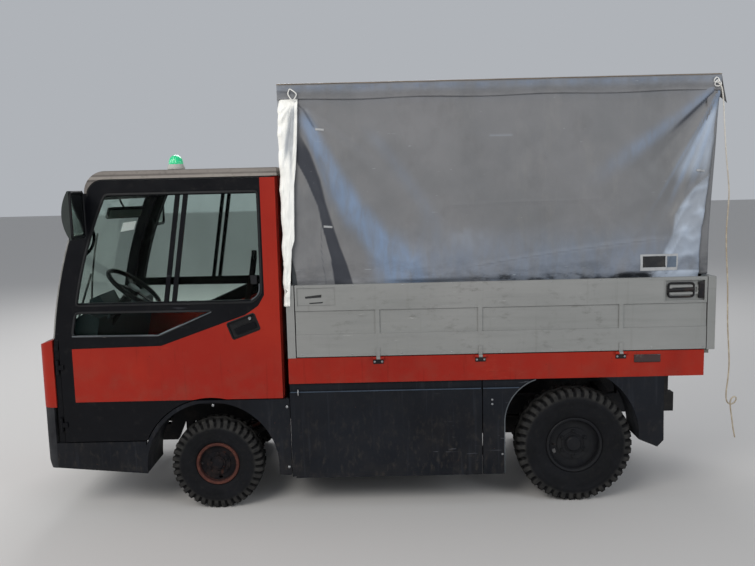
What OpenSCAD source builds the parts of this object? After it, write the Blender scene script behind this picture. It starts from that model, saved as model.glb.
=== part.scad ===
// Airport baggage tug: a battery flatbed with a closed cab, drop sides and a canvas canopy.
// Front is +X, the vehicle's left is +Y, up is +Z. The origin is on the floor under its middle.

/* [Whole vehicle] */
// Distance between the two axles
wheelbase = 2098; // [2000:2:2400]
// Front axle to the foremost point of the nose
front_overhang = 993; // [985:1:1050]
// Rear axle to the rearmost hinge
rear_overhang = 789; // [700:1:900]
// Width over the body sides
body_w = 1300; // [1280:2:1400]
// Height of the canopy roof
canopy_z = 2442; // [2300:2:2600]
// Height of the load bed
bed_z = 903; // [890:1:940]
// Height of the lower edge of the skirts
skirt_z = 190; // [180:1:230]

/* [Cab] */
// Length of the cab, nose to rear wall
cab_l = 1406; // [1400:1:1430]
// Height of the cab roof
cab_z = 1990; // [1960:2:2060]
// Gap between the cab and the load bed
cab_gap = 31; // [20:1:60]
// Radius of the curved windscreen
screen_r = 2700; // [2600:10:2900]
// Thickness of the roof cap at its sides
roof_t = 46; // [40:1:60]
// Thickness of a door
door_t = 40; // [34:1:44]
// Width of an upright bar between a door's sliding panes
pane_bar_w = 24; // [20:1:28]
// Depth of the pocket round a door's handle
handle_depth = 10; // [8:0.5:12]
// Height of the belt line under the windscreen
belt_z = 1013; // [1000:1:1030]
// Widest gap between two body panels
panel_gap = 6; // [4:0.5:8]
// Outer diameter of the steering wheel
wheel_rim_d = 380; // [340:2:400]
// Width of one seat
seat_w = 460; // [420:2:480]
// Height of a seat's back over the seat box
seat_back_h = 315; // [280:5:420]

/* [Wheels] */
// Outer diameter of a front tyre
front_tyre_d = 540; // [530:1:550]
// Width of a front tyre
front_tyre_w = 160; // [150:1:166]
// Rim seat diameter of a front wheel
front_rim_d = 229; // [222:1:236]
// Outer diameter of a rear tyre
rear_tyre_d = 676; // [660:1:684]
// Width of a rear tyre
rear_tyre_w = 188; // [176:1:196]
// Rim seat diameter of a rear wheel
rear_rim_d = 306; // [298:1:314]
// Distance of the tyres' outer faces from the body side
tyre_inset = 30; // [24:1:36]
// Kingpin to the middle of a front tyre
kingpin_offset = 110; // [106:1:114]
// Radius of a kingpin
kingpin_r = 12; // [10:0.5:14]
// Radius of a front stub axle
stub_r = 22; // [18:0.5:24]
// Radius of a rear axle shaft
shaft_r = 28; // [24:0.5:32]
// Free running gap round pins and shafts
pin_gap = 0.3; // [0.2:0.05:0.5]

/* [Load bed] */
// Height of a drop side
dropside_h = 414; // [380:2:440]
// Thickness of a drop side
dropside_t = 25; // [20:1:28]
// Length of a corner post
post_l = 45; // [40:1:50]
// Height of the red bed frame
bed_frame_h = 149; // [130:1:160]
// Thickness of the deck
deck_t = 22; // [18:1:30]
// Thickness of the ribbed sheet on the deck
ribbed_t = 3; // [2:0.5:4]
// Radius of a hinge barrel
barrel_r = 8; // [7:0.5:9]
// Radius of a hinge pin
pin_r = 4; // [3.5:0.25:4.5]
// Thickness of the canopy cloth
cloth_t = 5; // [4:0.5:6]
// Size of a canopy tube
bow_w = 28; // [25:1:30]
// Radius of the tow pin's bore
tow_pin_r = 16; // [14:0.5:18]
// Diameter of the rope
rope_d = 8; // [6:1:10]

/* [Hidden] */
$fn = 48;
total_l = front_overhang + wheelbase + rear_overhang;
nose_x = total_l / 2;
tail_x = -total_l / 2;
front_axle_x = nose_x - front_overhang;
rear_axle_x = front_axle_x - wheelbase;
side_y = body_w / 2;
seat_gap = 0.3;
front_axle_z = front_tyre_d / 2;
rear_axle_z = rear_tyre_d / 2;
front_tyre_y = side_y - tyre_inset - front_tyre_w / 2;
rear_tyre_y = side_y - tyre_inset - rear_tyre_w / 2;
kingpin_y = front_tyre_y - kingpin_offset;
arm_l = 120;
arm_z = front_axle_z - 46;

cab_rear_x = nose_x - cab_l;
cab_floor_z = 440;
cab_deck_z = 655;
seat_z = cab_deck_z + 165;
seat_y = 280;
wall_t = 15;
door_z = 672;
door_front_x = nose_x - 126;
door_hinge_x = door_front_x + 14;
door_hinge_y = side_y + 2;
door_in_y = side_y - door_t;
door_top_z = cab_z - roof_t - 8;
door_rear_x = cab_rear_x + 7;
window_low_z = belt_z + 222;
window_high_z = door_top_z - 76;
window_cut = 52;
handle_centre = [nose_x - 1190, belt_z + 84];
handle_size = [165, 97];
handle_slant = 20;
column_top = [nose_x - 460, seat_y, belt_z + 272];
column_tilt = 38;
roof_front_r = 122;
roof_centre = [nose_x - 455, cab_z - roof_front_r];
roof_inner_centre = [nose_x - 440, cab_z - roof_t - 98];
frame_in_y = door_in_y - 60;
screen_foot = [nose_x - 90, belt_z + 7];
screen_head = [nose_x - 329, cab_z - 101];
arch_x = front_axle_x + 15;
arch_z = front_axle_z;
arch_r = 385;
lip_w = 22;
sill_h = 190;
sill_low_z = 240;
liner_t = 4;

bed_front_x = cab_rear_x - cab_gap;
bed_rear_x = tail_x + barrel_r;
bed_frame_z = bed_z - bed_frame_h;
ledge_z = bed_frame_z - 50;
ledge_in = 12;
bed_frame_rear_x = tail_x + 67;
gate_hinge_z = bed_z - 7;
side_hinge_y = side_y + barrel_r + 1;
side_base_z = bed_z + 6;
side_top_z = side_base_z + dropside_h;
side_front_x = bed_front_x - post_l - panel_gap;
side_rear_x = bed_rear_x + post_l + panel_gap;
side_mid_x = (side_front_x + side_rear_x) / 2;
skirt_rear_x = rear_axle_x + 543;
skirt_front_x = bed_front_x - 2;
guard_front_x = rear_axle_x + 415;
guard_rear_x = rear_axle_x - 497;

rail_y = 170;
rail_w = 60;
rail_z = 420;
rail_h = 120;
rail_front_in = 150;
rail_step = [42, 90, 40];
member_w = 60;
member_h = 70;
member_nose_in = 210;
member_ahead = 120;
member_behind = 260;
member_rear = 330;
member_tail_in = 110;
upright_w = 50;
tub_front_x = skirt_front_x - 40;
tub_rear_x = skirt_rear_x + 20;
tub_w = body_w - 60;
battery_l = 900;

hoop_y = side_y - 66;
hoop_top_z = canopy_z - cloth_t - seat_gap;
cover_front_x = bed_front_x + 8;
cover_rear_x = tail_x + 11;

// Places of the three hinges of a drop side, as distances from its front end
dropside_hinges = [466, 1050, 1850];
// Heights of the two hinges of a door
door_hinges = [540, 880];
// Sideways places of the tailgate's hinges
gate_hinges = [-420, 0, 420];
// Points of the rope, from the canopy's corner down to its bare end
rope_points = [
    [-1896, 639, 2396], [-1900, 648, 2394], [-1908, 660, 2384], [-1919, 667, 2362],
    [-1926, 668, 2325], [-1932, 669, 2270], [-1936, 671, 2200],
    [-1940, 675, 2130], [-1945, 679, 2050], [-1951, 683, 1970], [-1960, 688, 1880],
    [-1966, 692, 1790], [-1962, 696, 1700], [-1955, 701, 1600], [-1955, 706, 1490],
    [-1960, 711, 1380], [-1965, 716, 1270], [-1966, 721, 1160], [-1968, 726, 1050],
    [-1974, 731, 940], [-1978, 736, 840], [-1972, 740, 750], [-1964, 743, 680],
    [-1968, 741, 630], [-1990, 736, 606], [-2014, 738, 616], [-2020, 746, 640],
    [-2002, 756, 655], [-1982, 760, 634], [-1984, 758, 590], [-1992, 758, 540],
    [-2000, 760, 480], [-2012, 762, 420]
];

// Turns a left-hand piece into a right-hand one when side is -1
module hand(side) {
    mirror([0, side < 0 ? 1 : 0, 0]) children();
}

// Draws a piece and its mirror image on the other side
module both_sides() {
    children();
    mirror([0, 1, 0]) children();
}

// A flat outline in X and Z, made thick from y0 to y1
module slab_y(y0, y1) {
    translate([0, y1, 0]) rotate([90, 0, 0]) linear_extrude(y1 - y0) children();
}

// A flat outline in Y and Z, made thick from x0 to x1
module slab_x(x0, x1) {
    translate([x0, 0, 0]) rotate([90, 0, 90]) linear_extrude(x1 - x0) children();
}

// A round bar along Y
module bar_y(r, y0, y1) {
    translate([0, y1, 0]) rotate([90, 0, 0]) cylinder(r = r, h = y1 - y0);
}

// A box given by its low and high corners
module block(low, high) {
    translate(low) cube(high - low);
}

// A flat rectangle given by its low and high corners
module sheet2(low, high) {
    translate(low) square(high - low);
}

// Fixed half of a hinge along Z: two end barrels and the pin through them
module hinge_fixed(len) {
    for (end = [-1, 1]) {
        translate([0, 0, end * len / 3]) cylinder(r = barrel_r, h = len / 3 - 1, center = true);
    }
    cylinder(r = pin_r, h = len, center = true);
}

// Moving half of a hinge along Z: the middle barrel with its bore
module hinge_moving(len) {
    difference() {
        cylinder(r = barrel_r, h = len / 3 - 1, center = true);
        cylinder(r = pin_r + pin_gap, h = len, center = true);
    }
}

// Chassis

// Side view of a frame rail, dropped at the front under the cab floor
module rail_outline() {
    front_x = nose_x - rail_front_in;
    rear_x = bed_frame_rear_x + 10;
    step_x = front_axle_x + arch_r - 15;
    step_top_z = rail_z - 20;
    polygon([
        [front_x, rail_z - rail_h], [front_x, step_top_z], [step_x, step_top_z],
        [step_x - rail_step[0], rail_z + rail_h], [rear_x, rail_z + rail_h],
        [rear_x, rail_z], [step_x - rail_step[1], rail_z], [step_x - rail_step[2], rail_z - rail_h]
    ]);
}

// Cross member between the rails, its lower edge at z
module cross_member(x, z) {
    block([x - member_w / 2, -rail_y, z], [x + member_w / 2, rail_y, z + member_h]);
}

module chassis() {
    bulkhead_t = 12;
    color("#2b2d31") {
        difference() {
            union() {
                both_sides() slab_y(rail_y, rail_y + rail_w) rail_outline();
                low_z = rail_z - rail_h + 20;
                front_members = [
                    [nose_x - member_nose_in, low_z], [front_axle_x + member_ahead, rail_z + 20],
                    [front_axle_x - member_behind, rail_z + 20]
                ];
                for (place = front_members) cross_member(place[0], place[1]);
                tail_member_x = bed_frame_rear_x + member_tail_in;
                for (x = [rear_axle_x + member_rear, rear_axle_x - member_rear, tail_member_x])
                    cross_member(x, rail_z + 30);
                // Battery tub between the axles
                for (x = [tub_front_x - bulkhead_t, tub_rear_x]) {
                    block([x, -tub_w / 2, skirt_z + 10], [x + bulkhead_t, tub_w / 2, bed_frame_z]);
                }
                block([tub_rear_x, -tub_w / 2, skirt_z + 10], [tub_front_x, tub_w / 2, skirt_z + 24]);
                both_sides() block(
                    [tub_rear_x, tub_w / 2 - 40, skirt_z + 10], [tub_front_x, tub_w / 2, skirt_z + 90]);
                // Uprights that carry the bed behind the tub
                both_sides() for (x = [rear_axle_x + 380, rear_axle_x - 380, bed_frame_rear_x + 70]) {
                    block([x - upright_w / 2, rail_y, rail_z + rail_h],
                        [x + upright_w / 2, rail_y + rail_w, bed_frame_z]);
                }
                // Supports under the cab deck and the footwell
                both_sides() for (x = [front_axle_x + 230, front_axle_x - 340]) {
                    block([x - upright_w / 2, rail_y, rail_z + rail_h],
                        [x + upright_w / 2, rail_y + rail_w, cab_deck_z - wall_t]);
                }
                both_sides() block(
                    [nose_x - 400, rail_y, rail_z - 20], [nose_x - 340, rail_y + rail_w, cab_floor_z - wall_t]);
            }
            // The battery fills the tub, so the rails stop at its ends
            block([tub_rear_x + bulkhead_t, -rail_y - rail_w - 1, skirt_z + 24],
                [tub_front_x - bulkhead_t, rail_y + rail_w + 1, bed_frame_z + 1]);
        }
    }
}

module battery() {
    mid_x = (tub_front_x + tub_rear_x) / 2;
    color("#3c4348")
        block([mid_x - battery_l / 2, -tub_w / 2 + 42, skirt_z + 24],
            [mid_x + battery_l / 2, tub_w / 2 - 42, bed_frame_z - 60]);
}

module drive_motor() {
    motor_x = rear_axle_x + 148 + seat_gap;
    color("#4a4d50") translate([motor_x, 0, rear_axle_z]) rotate([0, 90, 0]) {
        cylinder(r = 92, h = 40);
        translate([0, 0, 40]) cylinder(r = 108, h = 280);
        translate([0, 0, 320]) cylinder(r = 84, h = 30);
    }
}

// A leaf spring seen from the side, its lowest point at the origin
module leaf_outline(half_l, sag, t) {
    r = (half_l * half_l + sag * sag) / (2 * sag);
    intersection() {
        translate([0, r]) difference() {
            circle(r = r, $fn = 96);
            circle(r = r - t, $fn = 96);
        }
        sheet2([-half_l, -1], [half_l, sag + 2 * t]);
    }
}

module front_axle() {
    beam_h = 50;
    eye_r = 24;
    spring_z = front_axle_z + beam_h / 2;
    color("#33353a") translate([front_axle_x, 0, 0]) {
        block([-30, -kingpin_y + eye_r - 4, front_axle_z - beam_h / 2],
            [30, kingpin_y - eye_r + 4, front_axle_z + beam_h / 2]);
        both_sides() {
            difference() {
                translate([0, kingpin_y, front_axle_z - beam_h / 2]) cylinder(r = eye_r, h = beam_h);
                translate([0, kingpin_y, 0]) cylinder(r = kingpin_r + pin_gap, h = 2 * front_axle_z);
            }
            slab_y(rail_y, rail_y + rail_w) {
                translate([0, spring_z - 3]) leaf_outline(262, 76, 24);
                for (end = [-1, 1]) {
                    sheet2([end * 250 - 22, spring_z + 60], [end * 250 + 22, rail_z]);
                }
            }
        }
    }
}

module rear_axle() {
    tube_r = 55;
    color("#33353a") translate([rear_axle_x, 0, 0]) {
        translate([0, 0, rear_axle_z]) {
            bar_y(tube_r, -rear_tyre_y + 105, rear_tyre_y - 105);
            bar_y(shaft_r, -rear_tyre_y - 40, rear_tyre_y + 40);
            intersection() {
                sphere(r = 150);
                block([-148, -120, -140], [148, 120, 140]);
            }
        }
        both_sides() slab_y(rail_y, rail_y + rail_w) {
            sheet2([-62, rear_axle_z], [62, rail_z]);
            translate([0, rail_z - 34]) leaf_outline(380, 20, 12);
            for (end = [-1, 1]) {
                sheet2([end * 366 - 18, rail_z - 18], [end * 366 + 18, rail_z]);
            }
        }
    }
}

// Steering knuckle round the left kingpin, with its stub axle and steering arm
module knuckle(side) {
    fork_h = 92;
    color("#3a3c40") hand(side) translate([front_axle_x, kingpin_y, front_axle_z]) {
        translate([0, 0, -fork_h / 2]) cylinder(r = kingpin_r, h = fork_h);
        for (z = [-fork_h / 2, fork_h / 2 - 16]) {
            translate([0, 0, z]) {
                cylinder(r = 24, h = 16);
                translate([-24, 0, 0]) cube([48, 44, 16]);
            }
        }
        translate([-28, 29, -fork_h / 2]) cube([56, 16, fork_h]);
        bar_y(stub_r, 40, kingpin_offset + 42);
        difference() {
            translate([-arm_l, 0, -fork_h / 2]) {
                cylinder(r = 20, h = 16);
                translate([0, -14, 0]) cube([arm_l, 28, 16]);
            }
            translate([-arm_l, 0, -fork_h]) cylinder(r = side > 0 ? 8 + pin_gap : 9, h = fork_h);
        }
    }
}

module tie_rod() {
    eye_z = arm_z - 21;
    color("#3a3c40") translate([front_axle_x - arm_l, 0, eye_z]) {
        translate([0, 0, 8]) bar_y(9, -kingpin_y + 10, kingpin_y - 10);
        both_sides() translate([0, kingpin_y, 0]) {
            cylinder(r = 16, h = 16);
            cylinder(r = 8, h = 40);
        }
    }
}

// Wheels

// Half of a tyre's section: radius against distance from the tyre's middle plane
function tyre_half(r, w, rim_r) = let (h = r - rim_r, b = w / 2) [
    [rim_r, b * 0.62], [rim_r + 14, b * 0.62], [rim_r + 16, b * 0.8], [rim_r + h * 0.35, b * 0.97],
    [rim_r + h * 0.55, b], [rim_r + h * 0.78, b * 0.98], [rim_r + h * 0.93, b * 0.91], [r, b * 0.76]
];

// A tyre about its own axis, with square notches cut in both shoulders
module tyre(d, w, rim_d, lugs) {
    half = tyre_half(d / 2, w, rim_d / 2);
    other_half = [for (i = [len(half) - 1:-1:0]) [half[i][0], -half[i][1]]];
    color("#1c1d1f") rotate([90, 0, 0]) difference() {
        rotate_extrude($fn = 72) polygon(concat(half, other_half));
        for (i = [0:lugs - 1], edge = [-1, 1]) {
            rotate((i + (edge > 0 ? 0 : 0.5)) * 360 / lugs) translate([d / 2 - 10, -7, edge > 0 ? w * 0.34 : -w])
                cube([20, 14, w * 0.66]);
        }
    }
}

// A disc wheel about its own axis: rim band, dished disc, hub with its bore, and the valve's oval hole
module rim(rim_d, w, bore_r, disc_y, hub_l, valve_angle) {
    r = rim_d / 2 - seat_gap;
    half_w = w * 0.31;
    rotate([90, 0, 0]) difference() {
        union() {
            rotate_extrude($fn = 72) {
                sheet2([r - 7, -half_w - 8], [r, half_w + 8]);
                for (edge = [-1, 1]) {
                    translate([r - 7, edge > 0 ? half_w + seat_gap : -half_w - 8])
                        square([20, 8 - seat_gap]);
                }
            }
            translate([0, 0, -disc_y - 5]) cylinder(r = r - 3, h = 10, $fn = 72);
            translate([0, 0, -disc_y - 12]) cylinder(r = r * 0.62, h = 20);
            translate([0, 0, -disc_y - 20]) cylinder(r = bore_r + 20, h = hub_l);
        }
        translate([0, 0, -disc_y - 8]) cylinder(r = bore_r + pin_gap, h = hub_l);
        rotate(valve_angle) for (y = [-1, 1]) {
            translate([r * 0.78, y * r * 0.035, -disc_y - 30]) cylinder(r = r * 0.07, h = 60);
        }
    }
}

module front_tyre(side) {
    hand(side) translate([front_axle_x, front_tyre_y, front_axle_z])
        tyre(front_tyre_d, front_tyre_w, front_rim_d, 22);
}

module front_rim(side) {
    color("#6d3a2e") hand(side) translate([front_axle_x, front_tyre_y, front_axle_z])
        rim(front_rim_d, front_tyre_w, stub_r, 34, 85, 264);
}

module rear_tyre(side) {
    hand(side) translate([rear_axle_x, rear_tyre_y, rear_axle_z])
        tyre(rear_tyre_d, rear_tyre_w, rear_rim_d, 26);
}

module rear_rim(side) {
    color("#26272a") hand(side) translate([rear_axle_x, rear_tyre_y, rear_axle_z])
        rim(rear_rim_d, rear_tyre_w, shaft_r, 32, 90, 337);
}

// Cab

// Centre of the arc that runs through the windscreen's foot and head
screen_chord = norm(screen_head - screen_foot);
screen_dir = (screen_head - screen_foot) / screen_chord;
screen_normal = [screen_dir[1], -screen_dir[0]];
screen_depth = sqrt(screen_r * screen_r - screen_chord * screen_chord / 4);
screen_centre = (screen_foot + screen_head) / 2 - screen_normal * screen_depth;

// Front of the windscreen at a height
function screen_x(z) = screen_centre[0] + sqrt(screen_r * screen_r - pow(z - screen_centre[1], 2));

// Everything behind the windscreen's arc, less the inset
module behind_screen(inset) {
    translate(screen_centre) circle(r = screen_r - inset, $fn = 180);
}

// A band that follows the windscreen's arc between two insets and two heights
module screen_band(inset0, inset1, z0, z1) {
    intersection() {
        difference() {
            behind_screen(inset0);
            behind_screen(inset1);
        }
        sheet2([cab_rear_x, z0], [nose_x, z1]);
    }
}

module cab_floor() {
    toe_x = nose_x - 126;
    step_x = front_axle_x + 393;
    color("#2a2c2f") slab_y(-door_in_y + 16, door_in_y - 16) polygon([
        [toe_x - wall_t, belt_z - 60], [toe_x, belt_z - 60], [toe_x, cab_floor_z - wall_t],
        [step_x - wall_t, cab_floor_z - wall_t], [step_x - wall_t, cab_deck_z - wall_t],
        [cab_rear_x + 26, cab_deck_z - wall_t], [cab_rear_x + 26, cab_deck_z],
        [step_x, cab_deck_z], [step_x, cab_floor_z], [toe_x - wall_t, cab_floor_z]
    ]);
}

module cab_frame() {
    rail_low_z = cab_z - roof_t - 22;
    header_z = roof_centre[1] - seat_gap;
    hinge_l = 84;
    foot_x = door_front_x + panel_gap;
    color("#1f2023") {
        both_sides() {
            // Windscreen pillar, its foot beside the front panel, and the rear pillar
            slab_y(door_in_y - 20, side_y - 8) screen_band(6.5, 30, belt_z - 40, header_z);
            slab_y(frame_in_y, door_in_y - 8) screen_band(6.5, 70, belt_z - 40, header_z);
            block([foot_x, door_in_y - 20, sill_low_z + sill_h], [nose_x - 88 - seat_gap, side_y - 12, belt_z - 30]);
            block([cab_rear_x + 26, frame_in_y + 10, cab_deck_z], [cab_rear_x + 66, door_in_y - 8, rail_low_z]);
            // Roof rail over the door
            slab_y(frame_in_y, side_y - 16) intersection() {
                difference() {
                    translate(roof_inner_centre) circle(r = 97);
                    translate(roof_inner_centre) circle(r = 92);
                }
                sheet2(roof_inner_centre, roof_inner_centre + [200, 200]);
            }
            block([cab_rear_x + 25 + seat_gap, frame_in_y, rail_low_z + 15],
                [roof_inner_centre[0], side_y - 16, cab_z - roof_t]);
            // Hinges of the door
            for (z = door_hinges) {
                translate([door_hinge_x, door_hinge_y, z]) {
                    hinge_fixed(hinge_l);
                    for (end = [-1, 1]) {
                        translate([0, -16, end * hinge_l / 3 - hinge_l / 6 + 0.5])
                            cube([12, 16, hinge_l / 3 - 1]);
                    }
                }
            }
        }
        // Cross members: cowl, windscreen header and rear header
        slab_y(-door_in_y + 19, door_in_y - 19) screen_band(6.5, 40, belt_z - 60, belt_z + 6);
        slab_y(-frame_in_y - 1, frame_in_y + 1) screen_band(6.5, 36, header_z - 40, header_z);
        block([cab_rear_x + 26, -frame_in_y - 11, cab_z - roof_t - 40],
            [cab_rear_x + 60, frame_in_y + 11, cab_z - roof_t]);
    }
}

module cab_rear_wall() {
    window_low = [-430, 1260];
    window_high = [430, cab_z - 150];
    color("#b3271d") slab_x(cab_rear_x, cab_rear_x + 25) difference() {
        sheet2([-door_in_y + 6, cab_deck_z - wall_t], [door_in_y - 6, cab_z - roof_t - 1]);
        sheet2(window_low, window_high);
    }
    color("#51605f") block(
        [cab_rear_x + 8, window_low[0], window_low[1]], [cab_rear_x + 14, window_high[0], window_high[1]]);
}

// Side view of the roof cap, from its curved nose to the rear wall
module roof_outline() {
    difference() {
        union() {
            intersection() {
                translate(roof_centre) circle(r = roof_front_r, $fn = 96);
                sheet2(roof_centre, roof_centre + [200, 200]);
            }
            sheet2([cab_rear_x - 5, cab_z - roof_t], [roof_centre[0] + 1, cab_z]);
        }
        translate(roof_inner_centre) circle(r = 98, $fn = 96);
        sheet2([cab_rear_x - 10, roof_centre[1] - 10], [roof_inner_centre[0], cab_z - roof_t]);
    }
}

module cab_roof() {
    color("#b9b6b0") difference() {
        slab_y(-side_y, side_y) roof_outline();
        // Hollow from below, and a groove along the gutter
        slab_y(-side_y + 30, side_y - 30) sheet2(
            [cab_rear_x + 20, cab_z - roof_t - 1], [roof_centre[0], cab_z - 12]);
    }
}

module windscreen() {
    color([0.35, 0.42, 0.42, 0.6]) slab_y(-side_y + 32, side_y - 32)
        screen_band(0, 6, screen_foot[1] + 4, screen_head[1] - 4);
}

// Plan view of the nose, square behind and round at its front corners
module nose_plan(x0, x1, half_w, r) {
    sheet2([x0, -half_w], [x1 - r, half_w]);
    sheet2([x0, -half_w + r], [x1, half_w - r]);
    for (end = [-1, 1]) {
        translate([x1 - r, end * (half_w - r)]) circle(r = r, $fn = 64);
    }
}

module front_panel() {
    low_z = 644;
    back_x = nose_x - 88;
    skin = 22;
    color("#c8301f") difference() {
        intersection() {
            translate([0, 0, low_z]) linear_extrude(belt_z) nose_plan(back_x, nose_x, side_y, 70);
            slab_y(-side_y, side_y) polygon([
                [back_x, low_z], [nose_x, low_z], [nose_x, low_z + 30], [nose_x - 9, belt_z],
                [back_x + 0.5, belt_z + 25], [back_x, belt_z + 25]
            ]);
        }
        // Hollow behind the skin, and the two lamp wells
        translate([0, 0, low_z - 1]) linear_extrude(belt_z - low_z - 12)
            nose_plan(back_x - 1, nose_x - skin, side_y - skin, 50);
        both_sides() translate([nose_x - 60, 460, 800]) rotate([0, 90, 0]) cylinder(r = 78, h = 80);
    }
}

module headlamps() {
    color("#c9cdd0") both_sides() translate([nose_x - 40, 460, 800]) rotate([0, 90, 0]) {
        difference() {
            cylinder(r = 77.5, h = 30);
            translate([0, 0, 18]) cylinder(r = 68, h = 20);
        }
        intersection() {
            translate([0, 0, -120]) sphere(r = 160);
            translate([0, 0, 18]) cylinder(r = 67, h = 30);
        }
    }
}

module front_bumper() {
    top_z = 644 - seat_gap;
    low_z = 283;
    back_x = nose_x - 72;
    skin = 24;
    color("#4b4c4e") difference() {
        intersection() {
            translate([0, 0, low_z]) linear_extrude(top_z - low_z) nose_plan(back_x, nose_x - 3, side_y, 66);
            slab_y(-side_y, side_y) polygon([
                [back_x, low_z], [nose_x - 36, low_z], [nose_x - 14, low_z + 45], [nose_x - 3, top_z], [back_x, top_z]
            ]);
        }
        translate([0, 0, low_z - 1]) linear_extrude(top_z - low_z - 30)
            nose_plan(back_x - 1, nose_x - skin - 14, side_y - skin, 44);
    }
}

module beacon() {
    color("#3aa36b") translate([nose_x - 686, 0, cab_z]) {
        cylinder(r = 50, h = 28);
        translate([0, 0, 28]) cylinder(r = 36, h = 60);
        translate([0, 0, 88]) intersection() {
            sphere(r = 36);
            translate([0, 0, -1]) cylinder(r = 40, h = 33);
        }
    }
}

module dashboard() {
    front_x = door_front_x - wall_t - seat_gap;
    color("#3d4446") difference() {
        union() {
            slab_y(-frame_in_y + 4, frame_in_y - 4) polygon([
                [front_x, 760], [front_x, belt_z - 62], [front_x - 20, belt_z + 40], [front_x - 50, belt_z + 130],
                [front_x - 110, belt_z + 165], [front_x - 190, belt_z + 130], [front_x - 170, belt_z + 10],
                [front_x - 130, 850], [front_x - 110, 760]
            ]);
            slab_y(column_top[1] - 130, column_top[1] + 130) polygon([
                [front_x - 60, belt_z + 100], [front_x - 90, belt_z + 225], [front_x - 150, belt_z + 250],
                [front_x - 210, belt_z + 120], [front_x - 150, belt_z + 60]
            ]);
        }
        translate(column_top) rotate([0, -column_tilt, 0]) translate([0, 0, -520]) cylinder(r = 30, h = 520);
    }
}

module steering_column() {
    color("#2b2c2e") translate(column_top) rotate([0, -column_tilt, 0]) translate([0, 0, -430]) {
        cylinder(r = 29.6, h = 360);
        cylinder(r = 16, h = 395);
    }
}

module steering_wheel() {
    rim_r = 14;
    hub_low = -35 + seat_gap;
    color("#1b1b1d") translate(column_top) rotate([0, -column_tilt, 0]) {
        rotate_extrude($fn = 72) translate([wheel_rim_d / 2 - rim_r, 0]) circle(r = rim_r, $fn = 24);
        translate([0, 0, hub_low]) cylinder(r = 42, h = 32);
        for (a = [60, 180, 300]) {
            rotate(a) translate([30, -14, -13]) cube([wheel_rim_d / 2 - rim_r - 32, 28, 9]);
        }
    }
}

module seat_base() {
    low_x = cab_rear_x + 70;
    high_x = front_axle_x + 330;
    color("#26282a") slab_y(-frame_in_y - 20, frame_in_y + 20) polygon([
        [low_x, cab_deck_z], [low_x, seat_z], [high_x - 30, seat_z], [high_x, seat_z - 30], [high_x, cab_deck_z]
    ]);
}

module seat(side) {
    low_x = cab_rear_x + 90;
    low_z = seat_z + seat_gap;
    back_z = seat_z + seat_back_h;
    color("#2c2e33") hand(side) {
        block([low_x + 130, seat_y - seat_w / 2, low_z], [front_axle_x + 310, seat_y + seat_w / 2, low_z + 110]);
        slab_y(seat_y - seat_w / 2, seat_y + seat_w / 2) polygon([
            [low_x + 20, low_z], [low_x + 125, low_z], [low_x + 105, back_z - 15],
            [low_x + 85, back_z], [low_x + 5, back_z - 5], [low_x, back_z - 25]
        ]);
    }
}

// Doors

// Side view of a whole door, from its front edge to the rear strip
module door_outline() {
    intersection() {
        behind_screen(32);
        difference() {
            sheet2([door_rear_x, sill_low_z + sill_h + panel_gap], [door_front_x, door_top_z]);
            sheet2([door_rear_x - 1, 0], [arch_x, door_z]);
            translate([arch_x, arch_z]) circle(r = arch_r + lip_w + panel_gap, $fn = 96);
            sheet2([arch_x - 1, 0], [arch_x + arch_r + lip_w + panel_gap, arch_z]);
            sheet2([roof_inner_centre[0], roof_inner_centre[1]], [nose_x, cab_z]);
        }
    }
    intersection() {
        translate(roof_inner_centre) circle(r = 90, $fn = 96);
        sheet2(roof_inner_centre - [0.01, 0.01], roof_inner_centre + [200, 200]);
    }
}

// The red sheet of a door: below the belt line and up the rear edge
module red_outline(shift) {
    polygon([
        [nose_x - 200 + shift, door_z - shift], [nose_x - 200 + shift, belt_z - 28 + shift],
        [nose_x - 713, belt_z - 20 + shift], [nose_x - 1202, belt_z + 149 + shift],
        [nose_x - 1278 + shift, belt_z + 199], [nose_x - 1315 + shift, belt_z + 261],
        [nose_x - 1315 + shift, cab_z], [door_rear_x - 1, cab_z], [door_rear_x - 1, door_z - shift]
    ]);
}

// The two window openings of a door
module main_window() {
    intersection() {
        behind_screen(118);
        difference() {
            sheet2([nose_x - 1300, window_low_z], [nose_x - 200, window_high_z]);
            translate([nose_x - 1300, window_low_z]) rotate(45) square(window_cut * sqrt(2), center = true);
        }
    }
}

module lower_window() {
    polygon([
        [nose_x - 233, belt_z + 182], [nose_x - 1020, belt_z + 177],
        [nose_x - 705, belt_z + 40], [nose_x - 206, belt_z + 44]
    ]);
}

// The slanted bars where the sliding panes meet, and the channels that the panes run in
module pane_bars() {
    bite = 8;
    channel_h = 12;
    lean = 103;
    for (x = [nose_x - 853, nose_x - 898]) {
        polygon([
            [x - pane_bar_w / 2, window_high_z + bite], [x + pane_bar_w / 2, window_high_z + bite],
            [x + lean + pane_bar_w / 2, window_low_z - bite], [x + lean - pane_bar_w / 2, window_low_z - bite]
        ]);
    }
    sheet2([nose_x - 1300 - bite, window_high_z - channel_h],
        [screen_x(window_high_z) - 131 + bite, window_high_z + bite]);
    sheet2([nose_x - 1300 + window_cut - bite, window_low_z - bite],
        [screen_x(window_low_z) - 120 + bite, window_low_z + channel_h]);
}

// A flat rectangle with round corners, turned as a door's handle is
module handle_shape(size, r) {
    rotate(-handle_slant) {
        square([size[0] - 2 * r, size[1]], center = true);
        square([size[0], size[1] - 2 * r], center = true);
        for (x = [-1, 1], z = [-1, 1]) {
            translate([x * (size[0] / 2 - r), z * (size[1] / 2 - r)]) circle(r = r, $fn = 24);
        }
    }
}

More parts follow.
